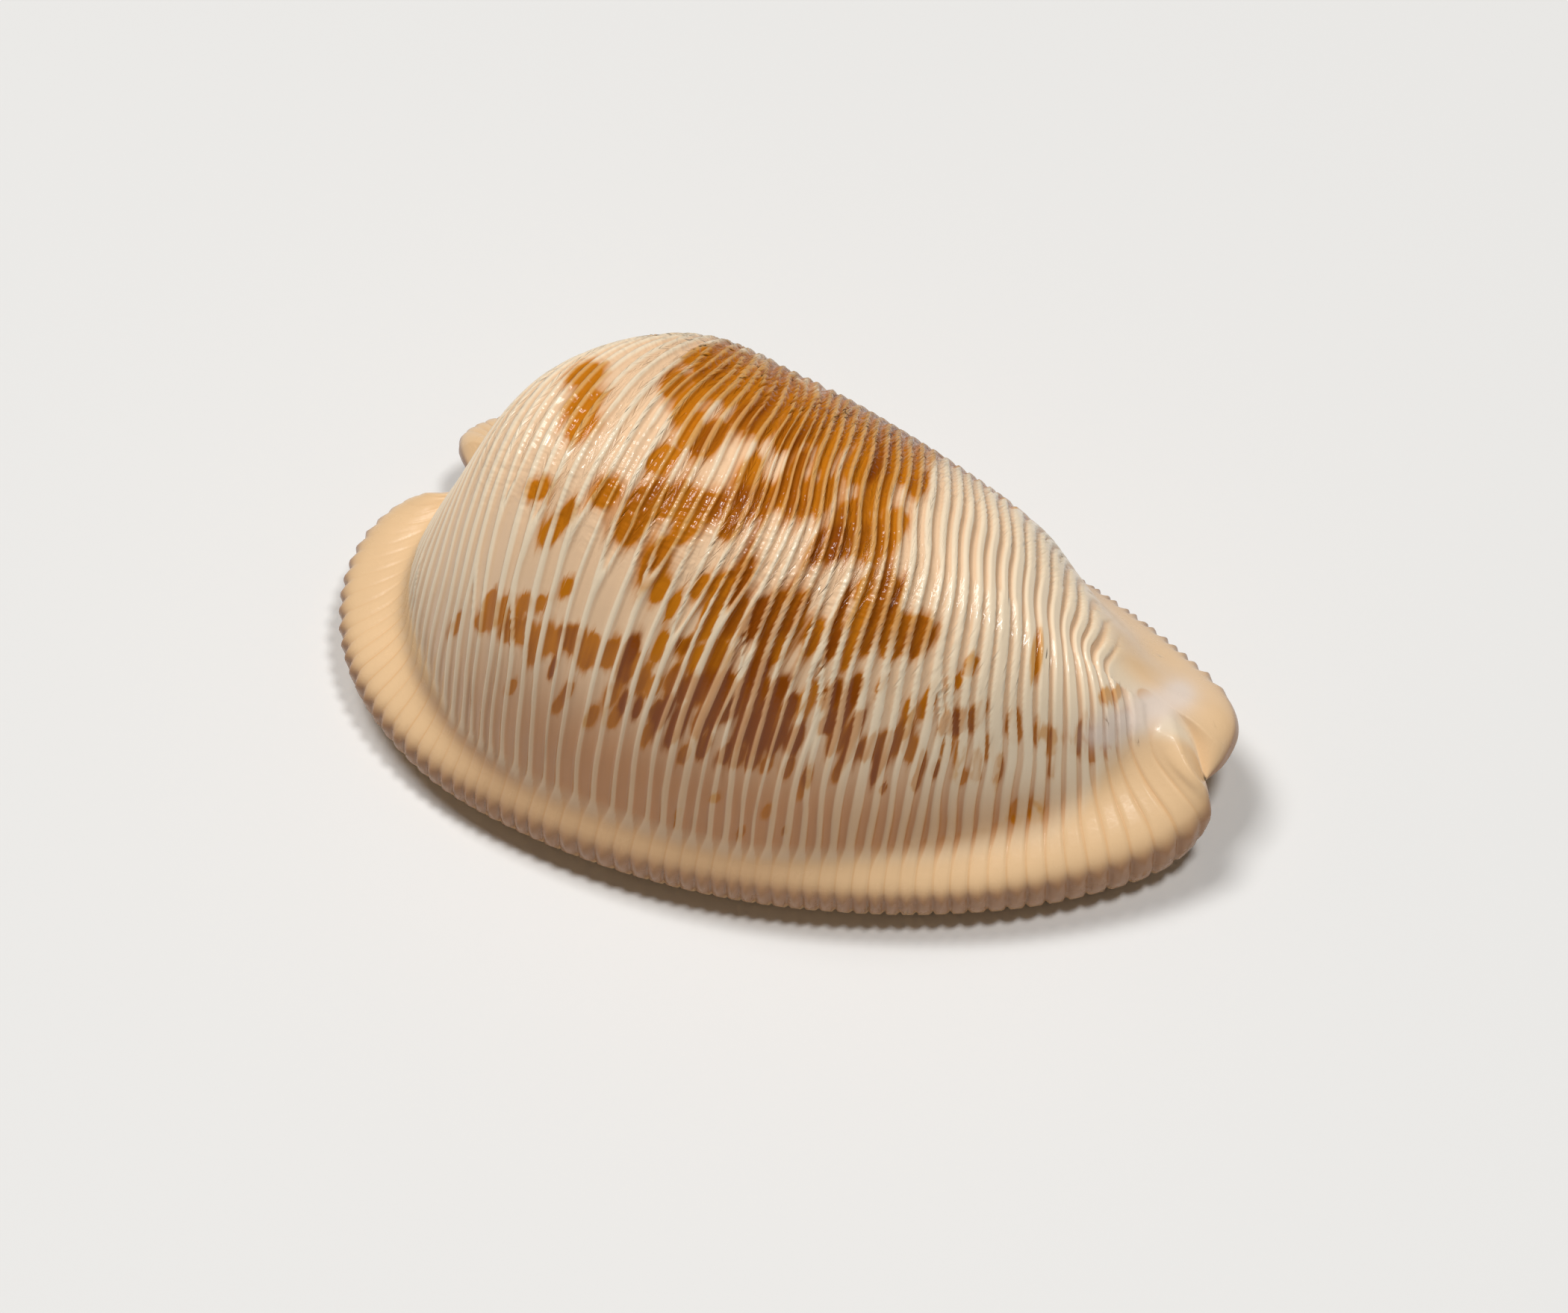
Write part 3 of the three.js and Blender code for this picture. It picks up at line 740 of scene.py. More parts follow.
@dataclass
class Markings:
    """The blotches of the back: broken bands over the top, and one low on each side.

    A mark in the photo leans with the ribs that it lies on, to the right going up.
    """

    view: PhotoView = field(default_factory=PhotoView)
    lean_rear: float = 0.36
    lean_front: float = 0.1
    lean_span: Span = (1120.0, 1280.0)
    sight: Span = (0.02, 0.2)
    usual_depth: float = 0.6
    seen: tuple[Blotch, ...] = tuple(Blotch(*row) for row in (
        # Spots on the upper rear
        (786, 502, 17, 13, .45), (787, 537, 17, 13, .45), (779, 567, 16, 18, .45),
        (720, 656, 14, 11, .5), (758, 690, 9, 13, .65), (738, 714, 12, 18, .4),
        (885, 615, 16, 12, .35),
        # The band over the top
        (902, 514, 11, 14, .6), (917, 543, 11, 18, .5), (924, 575, 9, 14, .5), (932, 475, 9, 8, .4),
        (946, 490, 10, 14, .65), (956, 506, 10, 16, .6), (963, 475, 12, 10, .6),
        (946, 520, 10, 12, .45), (985, 520, 20, 16, .5), (990, 485, 15, 10, .55),
        (940, 588, 11, 17, .8), (957, 588, 9, 15, .65), (1005, 520, 18, 16, .55),
        (1030, 515, 22, 18, .65), (1035, 492, 12, 8, .6), (1057, 530, 12, 16, .65),
        (1010, 555, 18, 18, .75), (1027, 570, 10, 14, .65), (1055, 582, 13, 17, .7),
        (1077, 552, 16, 20, .5), (1102, 567, 18, 22, .7), (1122, 542, 18, 18, .5),
        (1142, 537, 18, 14, .5), (1132, 575, 16, 16, .45), (1150, 560, 16, 18, .45),
        (1167, 590, 14, 18, .65), (1175, 565, 14, 14, .45), (1192, 557, 14, 10, .6),
        (1215, 572, 12, 10, .55), (1242, 587, 12, 9, .6), (1257, 605, 7, 8, .4),
        (1180, 618, 16, 18, .85), (1200, 615, 12, 14, .55), (1222, 612, 12, 16, .5),
        (1232, 650, 9, 12, .6), (1212, 632, 10, 12, .4), (1178, 662, 13, 20, .6),
        (1150, 622, 14, 20, .5), (1110, 605, 12, 22, .45), (1072, 622, 9, 13, .75),
        (1006, 632, 12, 16, .6),
        # The band in front of the top
        (811, 660, 15, 15, .6), (848, 700, 18, 26, .7), (870, 670, 25, 18, .75),
        (905, 672, 22, 16, .7), (945, 680, 18, 16, .8), (878, 752, 16, 28, .7), (885, 790, 8, 12, .4),
        (920, 705, 14, 20, .65), (1004, 668, 14, 18, .95), (980, 702, 12, 16, .8),
        (1020, 672, 12, 16, .8), (1055, 660, 18, 18, .75), (1077, 668, 12, 18, .75),
        (1100, 665, 12, 20, .65), (1140, 690, 14, 14, .65), (1122, 725, 20, 18, .9),
        (1100, 735, 12, 12, .8), (1145, 725, 12, 14, .8), (1168, 717, 16, 16, .75),
        (1192, 710, 12, 18, .55), (1205, 702, 9, 12, .45), (1167, 738, 10, 12, .6),
        # Patches half way down
        (967, 785, 13, 13, .6), (935, 787, 9, 12, .5), (955, 815, 14, 16, .65),
        (945, 842, 10, 16, .65), (902, 810, 7, 14, .4), (990, 785, 9, 32, .85), (985, 830, 8, 20, .8),
        (1012, 828, 13, 22, 1.0), (1035, 825, 11, 28, .85), (1064, 826, 14, 28, .85),
        (1025, 872, 8, 22, .9), (1042, 867, 12, 16, .65), (1017, 897, 10, 18, 1.0),
        (1090, 852, 10, 20, .65), (1124, 825, 5, 32, .95), (1112, 870, 8, 18, .95),
        (1140, 870, 8, 22, .6), (1150, 822, 8, 16, .5), (1157, 785, 8, 14, .6),
        (1188, 805, 13, 28, .8), (1190, 842, 20, 20, .8), (1167, 852, 10, 20, .75),
        (1215, 845, 14, 14, .8), (1232, 848, 14, 16, .75), (1227, 865, 10, 14, .8),
        (1195, 867, 10, 12, .7), (1182, 915, 6, 10, .65), (1300, 892, 6, 10, .5),
        (1280, 915, 8, 9, .55), (1389, 878, 5, 22, .35),
        # The long low band, its rear part
        (612, 835, 6, 14, .35), (647, 832, 10, 10, .5), (662, 825, 10, 12, .5), (657, 803, 8, 10, .5),
        (680, 810, 8, 10, .45), (702, 808, 7, 10, .5), (725, 808, 8, 8, .45), (760, 787, 7, 10, .45),
        (685, 845, 14, 14, .65), (702, 848, 9, 12, .5), (722, 862, 14, 24, .6), (740, 895, 4, 12, .8),
        (742, 860, 9, 12, .5), (757, 852, 12, 12, .8), (772, 857, 12, 14, .7), (787, 880, 12, 14, .65),
        (792, 862, 9, 10, .55), (815, 877, 14, 16, .6), (840, 878, 11, 22, .95),
        (837, 902, 7, 12, .85), (853, 890, 7, 12, .6), (860, 910, 8, 14, .65), (885, 867, 8, 18, .5),
        (915, 865, 8, 11, .85), (940, 880, 16, 16, .5), (960, 880, 10, 18, .7), (902, 910, 8, 18, .75),
        (922, 920, 10, 17, .9), (945, 922, 9, 20, .9), (875, 920, 9, 12, .5),
        # Its middle
        (760, 927, 6, 12, .65), (747, 945, 6, 10, .6), (685, 920, 6, 8, .4), (820, 930, 8, 14, .6),
        (837, 940, 6, 12, .9), (855, 948, 5, 12, .9), (877, 952, 7, 12, .9), (892, 952, 6, 18, 1.0),
        (910, 967, 8, 22, .9), (937, 967, 10, 20, .95), (960, 952, 10, 20, .95),
        (865, 985, 6, 16, .65), (792, 960, 6, 12, .55), (822, 962, 6, 12, .55), (902, 982, 7, 14, .85),
        (917, 1010, 8, 12, .75), (942, 1000, 8, 14, .85), (975, 925, 14, 20, .95),
        (972, 950, 12, 16, .95), (1015, 932, 16, 18, .85), (1040, 928, 8, 18, .95),
        (1027, 957, 10, 22, 1.0), (1010, 945, 10, 14, .85), (1057, 947, 8, 14, 1.0),
        (1047, 962, 8, 14, .9), (995, 977, 10, 22, 1.0), (1020, 985, 10, 22, 1.0),
        (1040, 990, 9, 20, 1.0), (1065, 992, 10, 18, .95), (987, 1015, 8, 14, .85),
        (970, 1010, 8, 12, .9), (1007, 1020, 8, 12, .85), (1027, 1025, 7, 10, .7),
        (1055, 1030, 7, 12, .75), (1080, 1042, 6, 16, .7), (1075, 1060, 5, 10, .6),
        (1082, 935, 8, 20, .45), (1112, 932, 13, 17, .95), (1110, 970, 11, 12, 1.0),
        (1140, 935, 8, 20, .9), (1147, 917, 7, 12, .85), (1125, 955, 9, 14, .8),
        (1145, 975, 9, 20, .9), (1120, 992, 10, 20, .85), (1137, 1010, 8, 14, .85),
        (1122, 1035, 6, 12, .7),
        # Its front part
        (1165, 1000, 12, 18, .85), (1190, 995, 12, 16, .8), (1210, 985, 10, 22, .75),
        (1222, 1005, 9, 14, .65), (1182, 1010, 7, 14, .9), (1175, 1030, 6, 18, .9),
        (1235, 1020, 5, 18, .85), (1227, 1047, 5, 12, .85), (1182, 1057, 5, 6, .8),
        (1217, 950, 6, 14, .55), (1240, 947, 10, 14, .6), (1247, 925, 5, 10, .45),
        (1267, 970, 9, 18, .9), (1287, 968, 12, 15, .88), (1305, 963, 10, 14, .83),
        (1313, 950, 8, 12, .73), (1267, 1000, 8, 12, .45), (1285, 1012, 5, 20, .4),
        (1309, 1020, 5, 18, .8), (1307, 1040, 7, 8, .8), (1336, 1030, 6, 16, .75),
        (1252, 1030, 7, 10, .75), (1287, 1042, 7, 8, .5), (1323, 1000, 6, 14, .5),
        (1357, 967, 9, 18, .75), (1360, 984, 7, 10, .6), (1392, 982, 8, 14, .6),
        (1412, 995, 9, 18, .65), (1411, 1025, 6, 14, .7), (1362, 1087, 9, 16, .45),
        (1387, 1085, 8, 16, .5),
        # Spots round the beak
        (1450, 980, 6, 14, .7), (1440, 1000, 6, 10, .7), (1462, 992, 12, 14, .65),
        (1475, 982, 10, 6, .6), (1465, 1010, 9, 10, .6), (1490, 1010, 9, 9, .6),
        (1507, 965, 8, 12, .45), (1480, 932, 5, 7, .5), (1495, 930, 5, 8, .4), (1535, 930, 8, 6, .3),
        # Small spots low on the side
        (907, 1105, 4, 6, .5), (957, 1070, 6, 6, .5), (910, 1088, 4, 6, .45), (1052, 1112, 4, 6, .7),
        (992, 1115, 5, 7, .6), (1027, 1087, 5, 8, .5),
    ))
    beak: tuple[Blotch, ...] = tuple(Blotch(*row) for row in (
        (1478, 985, 24, 17, 1), (1508, 966, 30, 18, 1), (1545, 945, 32, 20, 1), (1578, 930, 24, 20, 1),
    ))
    hidden: tuple[Blotch, ...] = tuple(Blotch(*row) for row in (
        (.35, .64, .014, .02, .4), (.42, .66, .014, .02, .45), (.50, .66, .05, .05, .6),
        (.58, .65, .05, .055, .6), (.67, .62, .018, .03, .5), (.40, .74, .03, .03, .45),
        (.46, .75, .03, .035, .6), (.53, .755, .035, .04, .7), (.60, .745, .035, .04, .75),
        (.66, .735, .025, .03, .6), (.72, .725, .025, .025, .5), (.79, .715, .014, .02, .4),
    ))

    def beak_patch(self, places: Array, facing: Array) -> Array:
        """Read the whitish patch at the front end, where the back meets the flange.

        Args:
            places: Rows of x, y and z in the frame, in millimetres.
            facing: How squarely each place faces the photo's camera, from -1 to 1.

        Returns:
            How far inside the patch each place is.
        """
        x, y = self.view.pixels(places)
        clear = np.ones_like(x)
        for mark in self.beak:
            clear = clear * (1.0 - mark.depth * mark.amount(x, y) * smoothstep(*self.sight, facing))
        return 1.0 - clear

    def read(self, places: Array, facing: Array, along: Array,
             across: Array) -> tuple[Array, Array]:
        """Read the marks at places on the skin.

        Args:
            places: Rows of x, y and z in the frame, in millimetres.
            facing: How squarely each place faces the photo's camera, from -1 to 1.
            along: The places' `along`.
            across: The places' `across`.

        Returns:
            How far inside a mark each place is, with 0.5 at its outline, and the depth
            of colour there.
        """
        x, y = self.view.pixels(places)
        lean = self.lean_rear + (self.lean_front - self.lean_rear) * smoothstep(
            *self.lean_span, x)
        in_sight = smoothstep(*self.sight, facing)
        amounts = [(in_sight * mark.amount(x, y, lean), mark.depth) for mark in self.seen]
        amounts += [((1.0 - in_sight) * mark.amount(along, across), mark.depth)
                    for mark in self.hidden]
        clear = np.ones_like(x)
        total = np.full_like(x, 1e-6)
        weighted = self.usual_depth * total
        for amount, depth in amounts:
            clear = clear * (1.0 - amount)
            total = total + amount ** 2
            weighted = weighted + depth * amount ** 2
        return 1.0 - clear, weighted / total


class Bank(Enum):
    """The names of the point attributes that the skin's finish reads."""

    CREST = "crest"
    CALLUS = "callus"
    FLUSH = "flush"
    MARK = "mark"
    DEPTH = "depth"
    BEAK = "beak"
    TOP = "top"
    BEADS = "beads"
    # Painted shade on the rim's downturned band
    FOOT = "foot"


@dataclass
class Skin:
    """The shell's visible skin: the form, its ribs, teeth and margin, and its mesh."""

    form: ShellForm = field(default_factory=ShellForm)
    ribs: RibField = field(default_factory=RibField)
    markings: Markings = field(default_factory=Markings)
    margins: dict[Side, Profile] = field(default_factory=lambda: {
        Side.LIP: Profile(
            along=(0.0, 0.1, 0.17, 0.28, 0.34, 0.42, 0.6, 0.75, 0.84, 0.87, 0.9, 0.94, 1.0),
            measure=(0.45, 0.3, 0.22, 0.13, 0.07, 0.05, 0.05, 0.07, 0.11, 0.16, 0.24, 0.31, 0.4)),
        Side.COLUMELLA: Profile(
            along=(0.0, 0.1, 0.2, 0.3, 0.5, 0.64, 0.72, 0.8, 0.88, 0.94, 1.0),
            measure=(0.3, 0.25, 0.16, 0.08, 0.06, 0.08, 0.12, 0.19, 0.28, 0.36, 0.42)),
    })
    rings: int = 640
    crease_width: int = 9
    crease_span: Span = (0.9, 0.98)
    rib_height: float = 0.19
    low_share: float = 0.6
    rear_share: float = 0.4
    flange_rib_height: float = 0.075
    front_flange_share: float = 1.4
    base_rib_height: float = 0.14
    nub_height: float = 0.2
    nub_reach: float = 0.42
    tooth_height: float = 0.36
    ribs_per_tooth: int = 3
    full_rib_reach: float = 2.2
    plain_crest: float = 0.7
    # Where the callus ends, in shares of a ring from the rim, and how that blurs forwards
    margin_edge: Span = (0.022, -0.012)
    margin_blur: dict[Side, float] = field(default_factory=lambda: {
        Side.LIP: 1.6, Side.COLUMELLA: 4.0,
    })
    margin_blur_span: Span = (0.68, 0.9)
    # Where ribs fade: on the inner rim, the front face, the rear shelf and the knobs
    rim_crests: Span = (0.015, 0.045)
    plain_face: Span = (0.7, 0.8)
    rear_shelf: Span = (0.24, 0.14)
    shelf_plainness: float = 0.6
    front_knob: Span = (0.925, 0.955)
    rear_knob: Span = (0.1, 0.05)
    # Where ribs are low behind the top, tall on top, and stronger on the front flange
    quiet_rear: Span = (0.45, 0.25)
    quiet_height: Span = (0.2, 0.38)
    tall_height: Span = (0.26, 0.4)
    flange_front: Span = (0.8, 0.9)
    # Where the low sides flush darker, by share from the rim and by `along`
    flush_low: Span = (0.27, 0.12)
    flush_from: Span = (0.18, 0.5)
    flush_end: Span = (0.82, 0.93)
    flush_fade: float = 0.85
    # The top by `across`, the beaded part of it by `along`, and where marks may show
    top_lip: Span = (0.33, 0.42)
    top_columella: Span = (0.95, 0.8)
    beads_rear: Span = (0.26, 0.34)
    beads_front: Span = (0.72, 0.6)
    marks_clear: Span = (0.2, 0.6)
    # Painted shade along the rim's lowest band, where it turns down, chosen by the upward part of its
    # normal and by height
    foot_steep: Span = (0.9, 0.15)
    foot_under: Span = (-0.7, -0.3)
    foot_height: Span = (0.12, 0.05)
    node: str = "shell"

    def __post_init__(self) -> None:
        """Lay the smooth skin, and read the ribs and the callus on it."""
        self.along = np.arange(1, self.rings) / self.rings
        laid = [self.form.ring(float(s)) for s in self.along]
        self.share = np.stack([share for _, share in laid])
        self.across, self.on_lip, self.stretch = self.form.columns()
        self.from_rim = np.where(self.across < 0.5, self.across, 1.0 - self.across)
        self.smooth = self._soften(np.stack([places for places, _ in laid]))
        self.rear, self.front = self.form.back.places[[0, -1]]
        self.edge = self._by_side(*(self.form.rims[side].at(self.along)[:, 2:] for side in Side))
        self.callus = self._callus()
        self.ends = self._ends()
        self.crest = self._crest()

    def _soften(self, places: Array) -> Array:
        """Round off the crease between the front knob and the flange, near the notch.

        Args:
            places: The rings' places.

        Returns:
            The same with its last rings drawn smooth.
        """
        width = self.crease_width
        wrapped = np.concatenate([places[:, -width:], places, places[:, :width]], axis=1)
        sums = np.cumsum(np.pad(wrapped, ((0, 0), (1, 0), (0, 0))), axis=1)
        count = 2 * width + 1
        even = (sums[:, count:] - sums[:, :-count]) / count
        share = smoothstep(*self.crease_span, self.along)[:, None, None]
        upper = smoothstep(0.0, 0.1, self.from_rim)[None, :, None]
        return places + (even - places) * share * upper

    def _is(self, *names: str) -> Array:
        """Mark the columns of a ring that belong to the named stretches."""
        return np.array([name in names for name in self.stretch])

    def _by_side(self, lip: object, columella: object) -> Array:
        """Take the first value on the lip's side of each ring, and the second elsewhere."""
        return np.where(self.on_lip[None], lip, columella)

    def _callus(self) -> Array:
        """Give 1 on the thickened rim, the flanges and the base, and 0 on the body."""
        reach = self._by_side(*(self.margins[side].at(self.along)[:, None] for side in Side))
        blur = self._by_side(*(self.margin_blur[side] for side in Side))
        blur = 1.0 + blur * smoothstep(*self.margin_blur_span, self.along)[:, None]
        inside = smoothstep(*self.margin_edge, (self.from_rim[None] - reach) / blur)
        return np.where(self._is("back")[None], inside, 1.0)

    def _crest(self) -> Array:
        """Read the ribs, which the callus hides on the rear shelf and the inner rim."""
        read = [self.ribs.crest(self.along, float(v), Side.LIP if lip else Side.COLUMELLA,
                                self.callus[:, k])
                for k, (v, lip) in enumerate(zip(self.across, self.on_lip))]
        crest, self.point = (np.stack(part, axis=1) for part in zip(*read))
        off_edge = smoothstep(*self.rim_crests, self.from_rim)[None]
        face = smoothstep(*self.plain_face, self.along)[:, None]
        shelf = self.shelf_plainness * smoothstep(*self.rear_shelf, self.along)[:, None]
        shown = self.ends * (1.0 - self.callus * off_edge * self._by_side(shelf, face))
        return self.plain_crest + (crest - self.plain_crest) * shown

    def _ends(self) -> Array:
        """Fade the ribs towards the notches, and on the smooth knobs beside them."""
        lip = self.form.rims[Side.LIP].at(self.along)
        reach = np.minimum(np.linalg.norm(lip - self.rear, axis=1),
                           np.linalg.norm(lip - self.front, axis=1))
        fade = np.clip(reach / self.full_rib_reach, 0.0, 1.0)[:, None]
        knobs = smoothstep(*self.front_knob, self.along) + smoothstep(*self.rear_knob, self.along)
        return self._by_side(fade, fade * np.clip(1.0 - knobs[:, None], 0.0, 1.0))

    def relief(self) -> Array:
        """Work out how far each place stands out from the smooth form."""
        along = self.along[:, None]
        rear = smoothstep(*self.quiet_rear, along)
        rear = rear * smoothstep(*self.quiet_height, self.from_rim)[None]
        tall = smoothstep(*self.tall_height, self.from_rim)[None]
        height = self.rib_height * (self.low_share + (1.0 - self.low_share) * tall)
        body = height * (self.crest - 0.5) * (1.0 - (1.0 - self.rear_share) * rear)
        front = smoothstep(*self.flange_front, along)
        flange = self.flange_rib_height * (1.0 + (self.front_flange_share - 1.0) * front)
        rise = body + (flange * (np.sqrt(self.crest) - 0.6) - body) * self.callus
        tooth_phase = self.along * self.ribs.count / self.ribs_per_tooth
        tooth = 0.5 * np.cos(2 * math.pi * tooth_phase)[:, None] * self.tooth_height
        base = self.base_rib_height * (self.crest - 0.5)
        rise = np.where(self._is("underRim", "base")[None], base, rise)
        rise = np.where(self._is("lipEdge", "wall")[None], tooth, rise)
        rise = np.where(self._is("roof")[None], 0.0, rise)
        off_edge = (self.smooth[..., 2] - self.edge) / self.nub_reach
        outermost = smoothstep(0.9, 0.98, self.share)
        nub = self.nub_height * (self.point - 0.5) * np.exp(-off_edge ** 2) * outermost
        rise = rise + np.where(self._is("back", "underRim")[None], nub, 0.0)
        resting = (self.smooth[..., 2] < 1e-6) & ~self._is("roof")[None]
        return np.where(resting, 0.0, rise * self.ends)

    def _normals(self) -> Array:
        """Work out the smooth form's outward unit normals."""
        rows = np.concatenate([np.broadcast_to(self.rear, (1, self.form.around, 3)),
                               self.smooth,
                               np.broadcast_to(self.front, (1, self.form.around, 3))])
        forward = rows[2:] - rows[:-2]
        sideways = np.roll(self.smooth, -1, axis=1) - np.roll(self.smooth, 1, axis=1)
        outward = np.cross(forward, sideways)
        return outward / np.maximum(np.linalg.norm(outward, axis=-1, keepdims=True), 1e-12)

    def places(self) -> tuple[Array, Array, Array]:
        """Lay the finished skin in the frame, in metres.

        Returns:
            The rings' places, and the rear and front poles.
        """
        raised = self.smooth + self._normals() * self.relief()[..., None]
        raised[..., 2] = np.maximum(raised[..., 2], 0.0)
        low, high = raised.min(axis=(0, 1)), raised.max(axis=(0, 1))
        cad_low, cad_high = (np.array(corner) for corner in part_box(self.node))
        shift = (cad_low + cad_high) / 2 - (low + high) / 2 * MM
        shift[2] = cad_low[2] - low[2] * MM
        return raised * MM + shift, self.rear * MM + shift, self.front * MM + shift

    def banks(self, places: Array) -> dict[Bank, Array]:
        """Work out the masks that the finish reads, one value for each ring place.

        Args:
            places: The rings' places in the frame, in metres.

        Returns:
            Each mask by its name.
        """
        along = np.broadcast_to(self.along[:, None], self.smooth.shape[:2])
        across = np.broadcast_to(self.across[None], self.smooth.shape[:2])
        body = 1.0 - self.callus
        flush = smoothstep(*self.flush_low, self.from_rim)[None]
        flush = flush * smoothstep(*self.flush_from, along) * body
        flush = flush * (1.0 - self.flush_fade * smoothstep(*self.flush_end, along))
        back = view_axes(self.markings.view.azimuth, self.markings.view.elevation)[2]
        flat = places.reshape(-1, 3) / MM
        normals = self._normals()
        facing = (normals @ back).ravel()
        mark, depth = self.markings.read(flat, facing, along.ravel(), across.ravel())
        top = smoothstep(*self.top_lip, across) * smoothstep(*self.top_columella, across)
        beads = smoothstep(*self.beads_rear, along) * smoothstep(*self.beads_front, along)
        # Painted shade: a mask that darkens the rim where its normal turns from upward towards
        # downward
        foot = (smoothstep(*self.foot_steep, normals[..., 2])
                * smoothstep(*self.foot_under, normals[..., 2])
                * smoothstep(*self.foot_height, self.from_rim)[None])
        return {
            Bank.CREST: self.crest,
            Bank.CALLUS: self.callus,
            Bank.FLUSH: flush,
            Bank.MARK: mark.reshape(along.shape) * smoothstep(*self.marks_clear, body),
            Bank.DEPTH: depth.reshape(along.shape),
            Bank.BEAK: self.markings.beak_patch(flat, facing).reshape(along.shape),
            Bank.TOP: top,
            Bank.BEADS: top * beads,
            Bank.FOOT: foot,
        }


def clear_selection() -> None:
    """Leave edit mode and deselect every object."""
    if bpy.context.mode != "OBJECT":
        bpy.ops.object.mode_set(mode="OBJECT")
    bpy.ops.object.select_all(action="DESELECT")


@dataclass
class ShellPiece:
    """The visible shell: a round blank that is drawn out, shaped and dressed."""

    skin: Skin = field(default_factory=Skin)
    name: str = "ribbed_shell"
    growth_size: float = 2.4
    growth_height: float = 0.05
    map_girth: float = 1.2

    def build(self) -> bpy.types.Object:
        """Make the shell's mesh.

        Returns:
            The shell's object, at the origin, with its place in its mesh.
        """
        blank = self._blank()
        places = self._grow(blank)
        LOG.info("skin laid: %d rings of %d points", *places)
        self._turn_faces_out(blank)
        self._uneven_growth(blank)
        bpy.ops.object.shade_smooth()
        return blank

    def _blank(self) -> bpy.types.Object:
        """Add the round blank, with its poles where the two notches will be."""
        clear_selection()
        bpy.ops.mesh.primitive_uv_sphere_add(
            segments=self.skin.form.around, ring_count=self.skin.rings, radius=1.0)
        blank = bpy.context.active_object
        blank.name = self.name
        blank.data.name = self.name
        return blank

    def _grow(self, blank: bpy.types.Object) -> tuple[int, int]:
        """Move the blank's points to the skin's, ring by ring, and write its banks.

        Args:
            blank: The round blank.

        Returns:
            The number of rings, and of points in a ring.
        """
        mesh = blank.data
        around, rings = self.skin.form.around, self.skin.rings
        round_places = np.empty(len(mesh.vertices) * 3)
        mesh.vertices.foreach_get("co", round_places)
        x, y, z = round_places.reshape(-1, 3).T
        ring = np.rint(np.arctan2(np.hypot(x, y), z) / math.pi * rings).astype(int)
        turn = np.rint(np.arctan2(y, x) / (2 * math.pi) * around).astype(int) % around

        places, rear, front = self.skin.places()
        grown = np.vstack([rear[None], places.reshape(-1, 3), front[None]])
        inner = (ring > 0) & (ring < rings)
        index = np.where(inner, 1 + (ring - 1) * around + turn, np.where(ring == 0, 0, -1))
        mesh.vertices.foreach_set("co", grown[index].ravel())

        for bank, values in self.skin.banks(places).items():
            flat = np.concatenate([[values[0].mean()], values.ravel(), [values[-1].mean()]])
            layer = mesh.attributes.new(bank.value, "FLOAT", "POINT")
            layer.data.foreach_set("value", flat[index].astype(np.float32))
        self._write_map(mesh, ring)
        mesh.update()
        return rings - 1, around

    def _write_map(self, mesh: bpy.types.Mesh, ring: Array) -> None:
        """Write the map whose u is `along` and whose v goes round the ring.

        Args:
            mesh: The blank's mesh, which has a map of its own.
            ring: Each vertex's ring.
        """
        layer = mesh.uv_layers.active
        layer.name = "ribs"
        corners = np.empty(len(mesh.loops), np.int32)
        mesh.loops.foreach_get("vertex_index", corners)
        old = np.empty(len(mesh.loops) * 2)
        layer.data.foreach_get("uv", old)
        u = ring[corners] / self.skin.rings
        v = old.reshape(-1, 2)[:, 0] * self.map_girth
        layer.data.foreach_set("uv", np.column_stack([u, v]).ravel())

    def _turn_faces_out(self, blank: bpy.types.Object) -> None:
        """Turn every face outwards."""
        clear_selection()
        blank.select_set(True)
        bpy.context.view_layer.objects.active = blank
        bpy.ops.object.mode_set(mode="EDIT")
        bpy.ops.mesh.select_all(action="SELECT")
        bpy.ops.mesh.normals_make_consistent(inside=False)
        bpy.ops.mesh.select_all(action="DESELECT")
        bpy.ops.object.mode_set(mode="OBJECT")

    def _uneven_growth(self, blank: bpy.types.Object) -> None:
        """Raise and sink the back a little, as uneven growth leaves it.

        Args:
            blank: The shaped shell.
        """
        group = blank.vertex_groups.new(name="back")
        heights = np.empty(len(blank.data.vertices) * 3)
        blank.data.vertices.foreach_get("co", heights)
        z = heights.reshape(-1, 3)[:, 2]
        fade_start, fade_end = 3.0 * MM, 5.0 * MM
        weights = smoothstep(fade_start, fade_end, z)
        for level in np.unique(np.round(weights, 1)):
            chosen = np.flatnonzero(np.round(weights, 1) == level)
            group.add([int(i) for i in chosen], float(level), "REPLACE")
        clouds = bpy.data.textures.new("uneven growth", "CLOUDS")
        clouds.noise_scale = self.growth_size * MM
        modifier = blank.modifiers.new("uneven growth", "DISPLACE")
        modifier.texture = clouds
        modifier.texture_coords = "LOCAL"
        modifier.strength = self.growth_height * MM
        modifier.mid_level = 0.5
        modifier.vertex_group = group.name
        bpy.ops.object.modifier_apply(modifier=modifier.name)


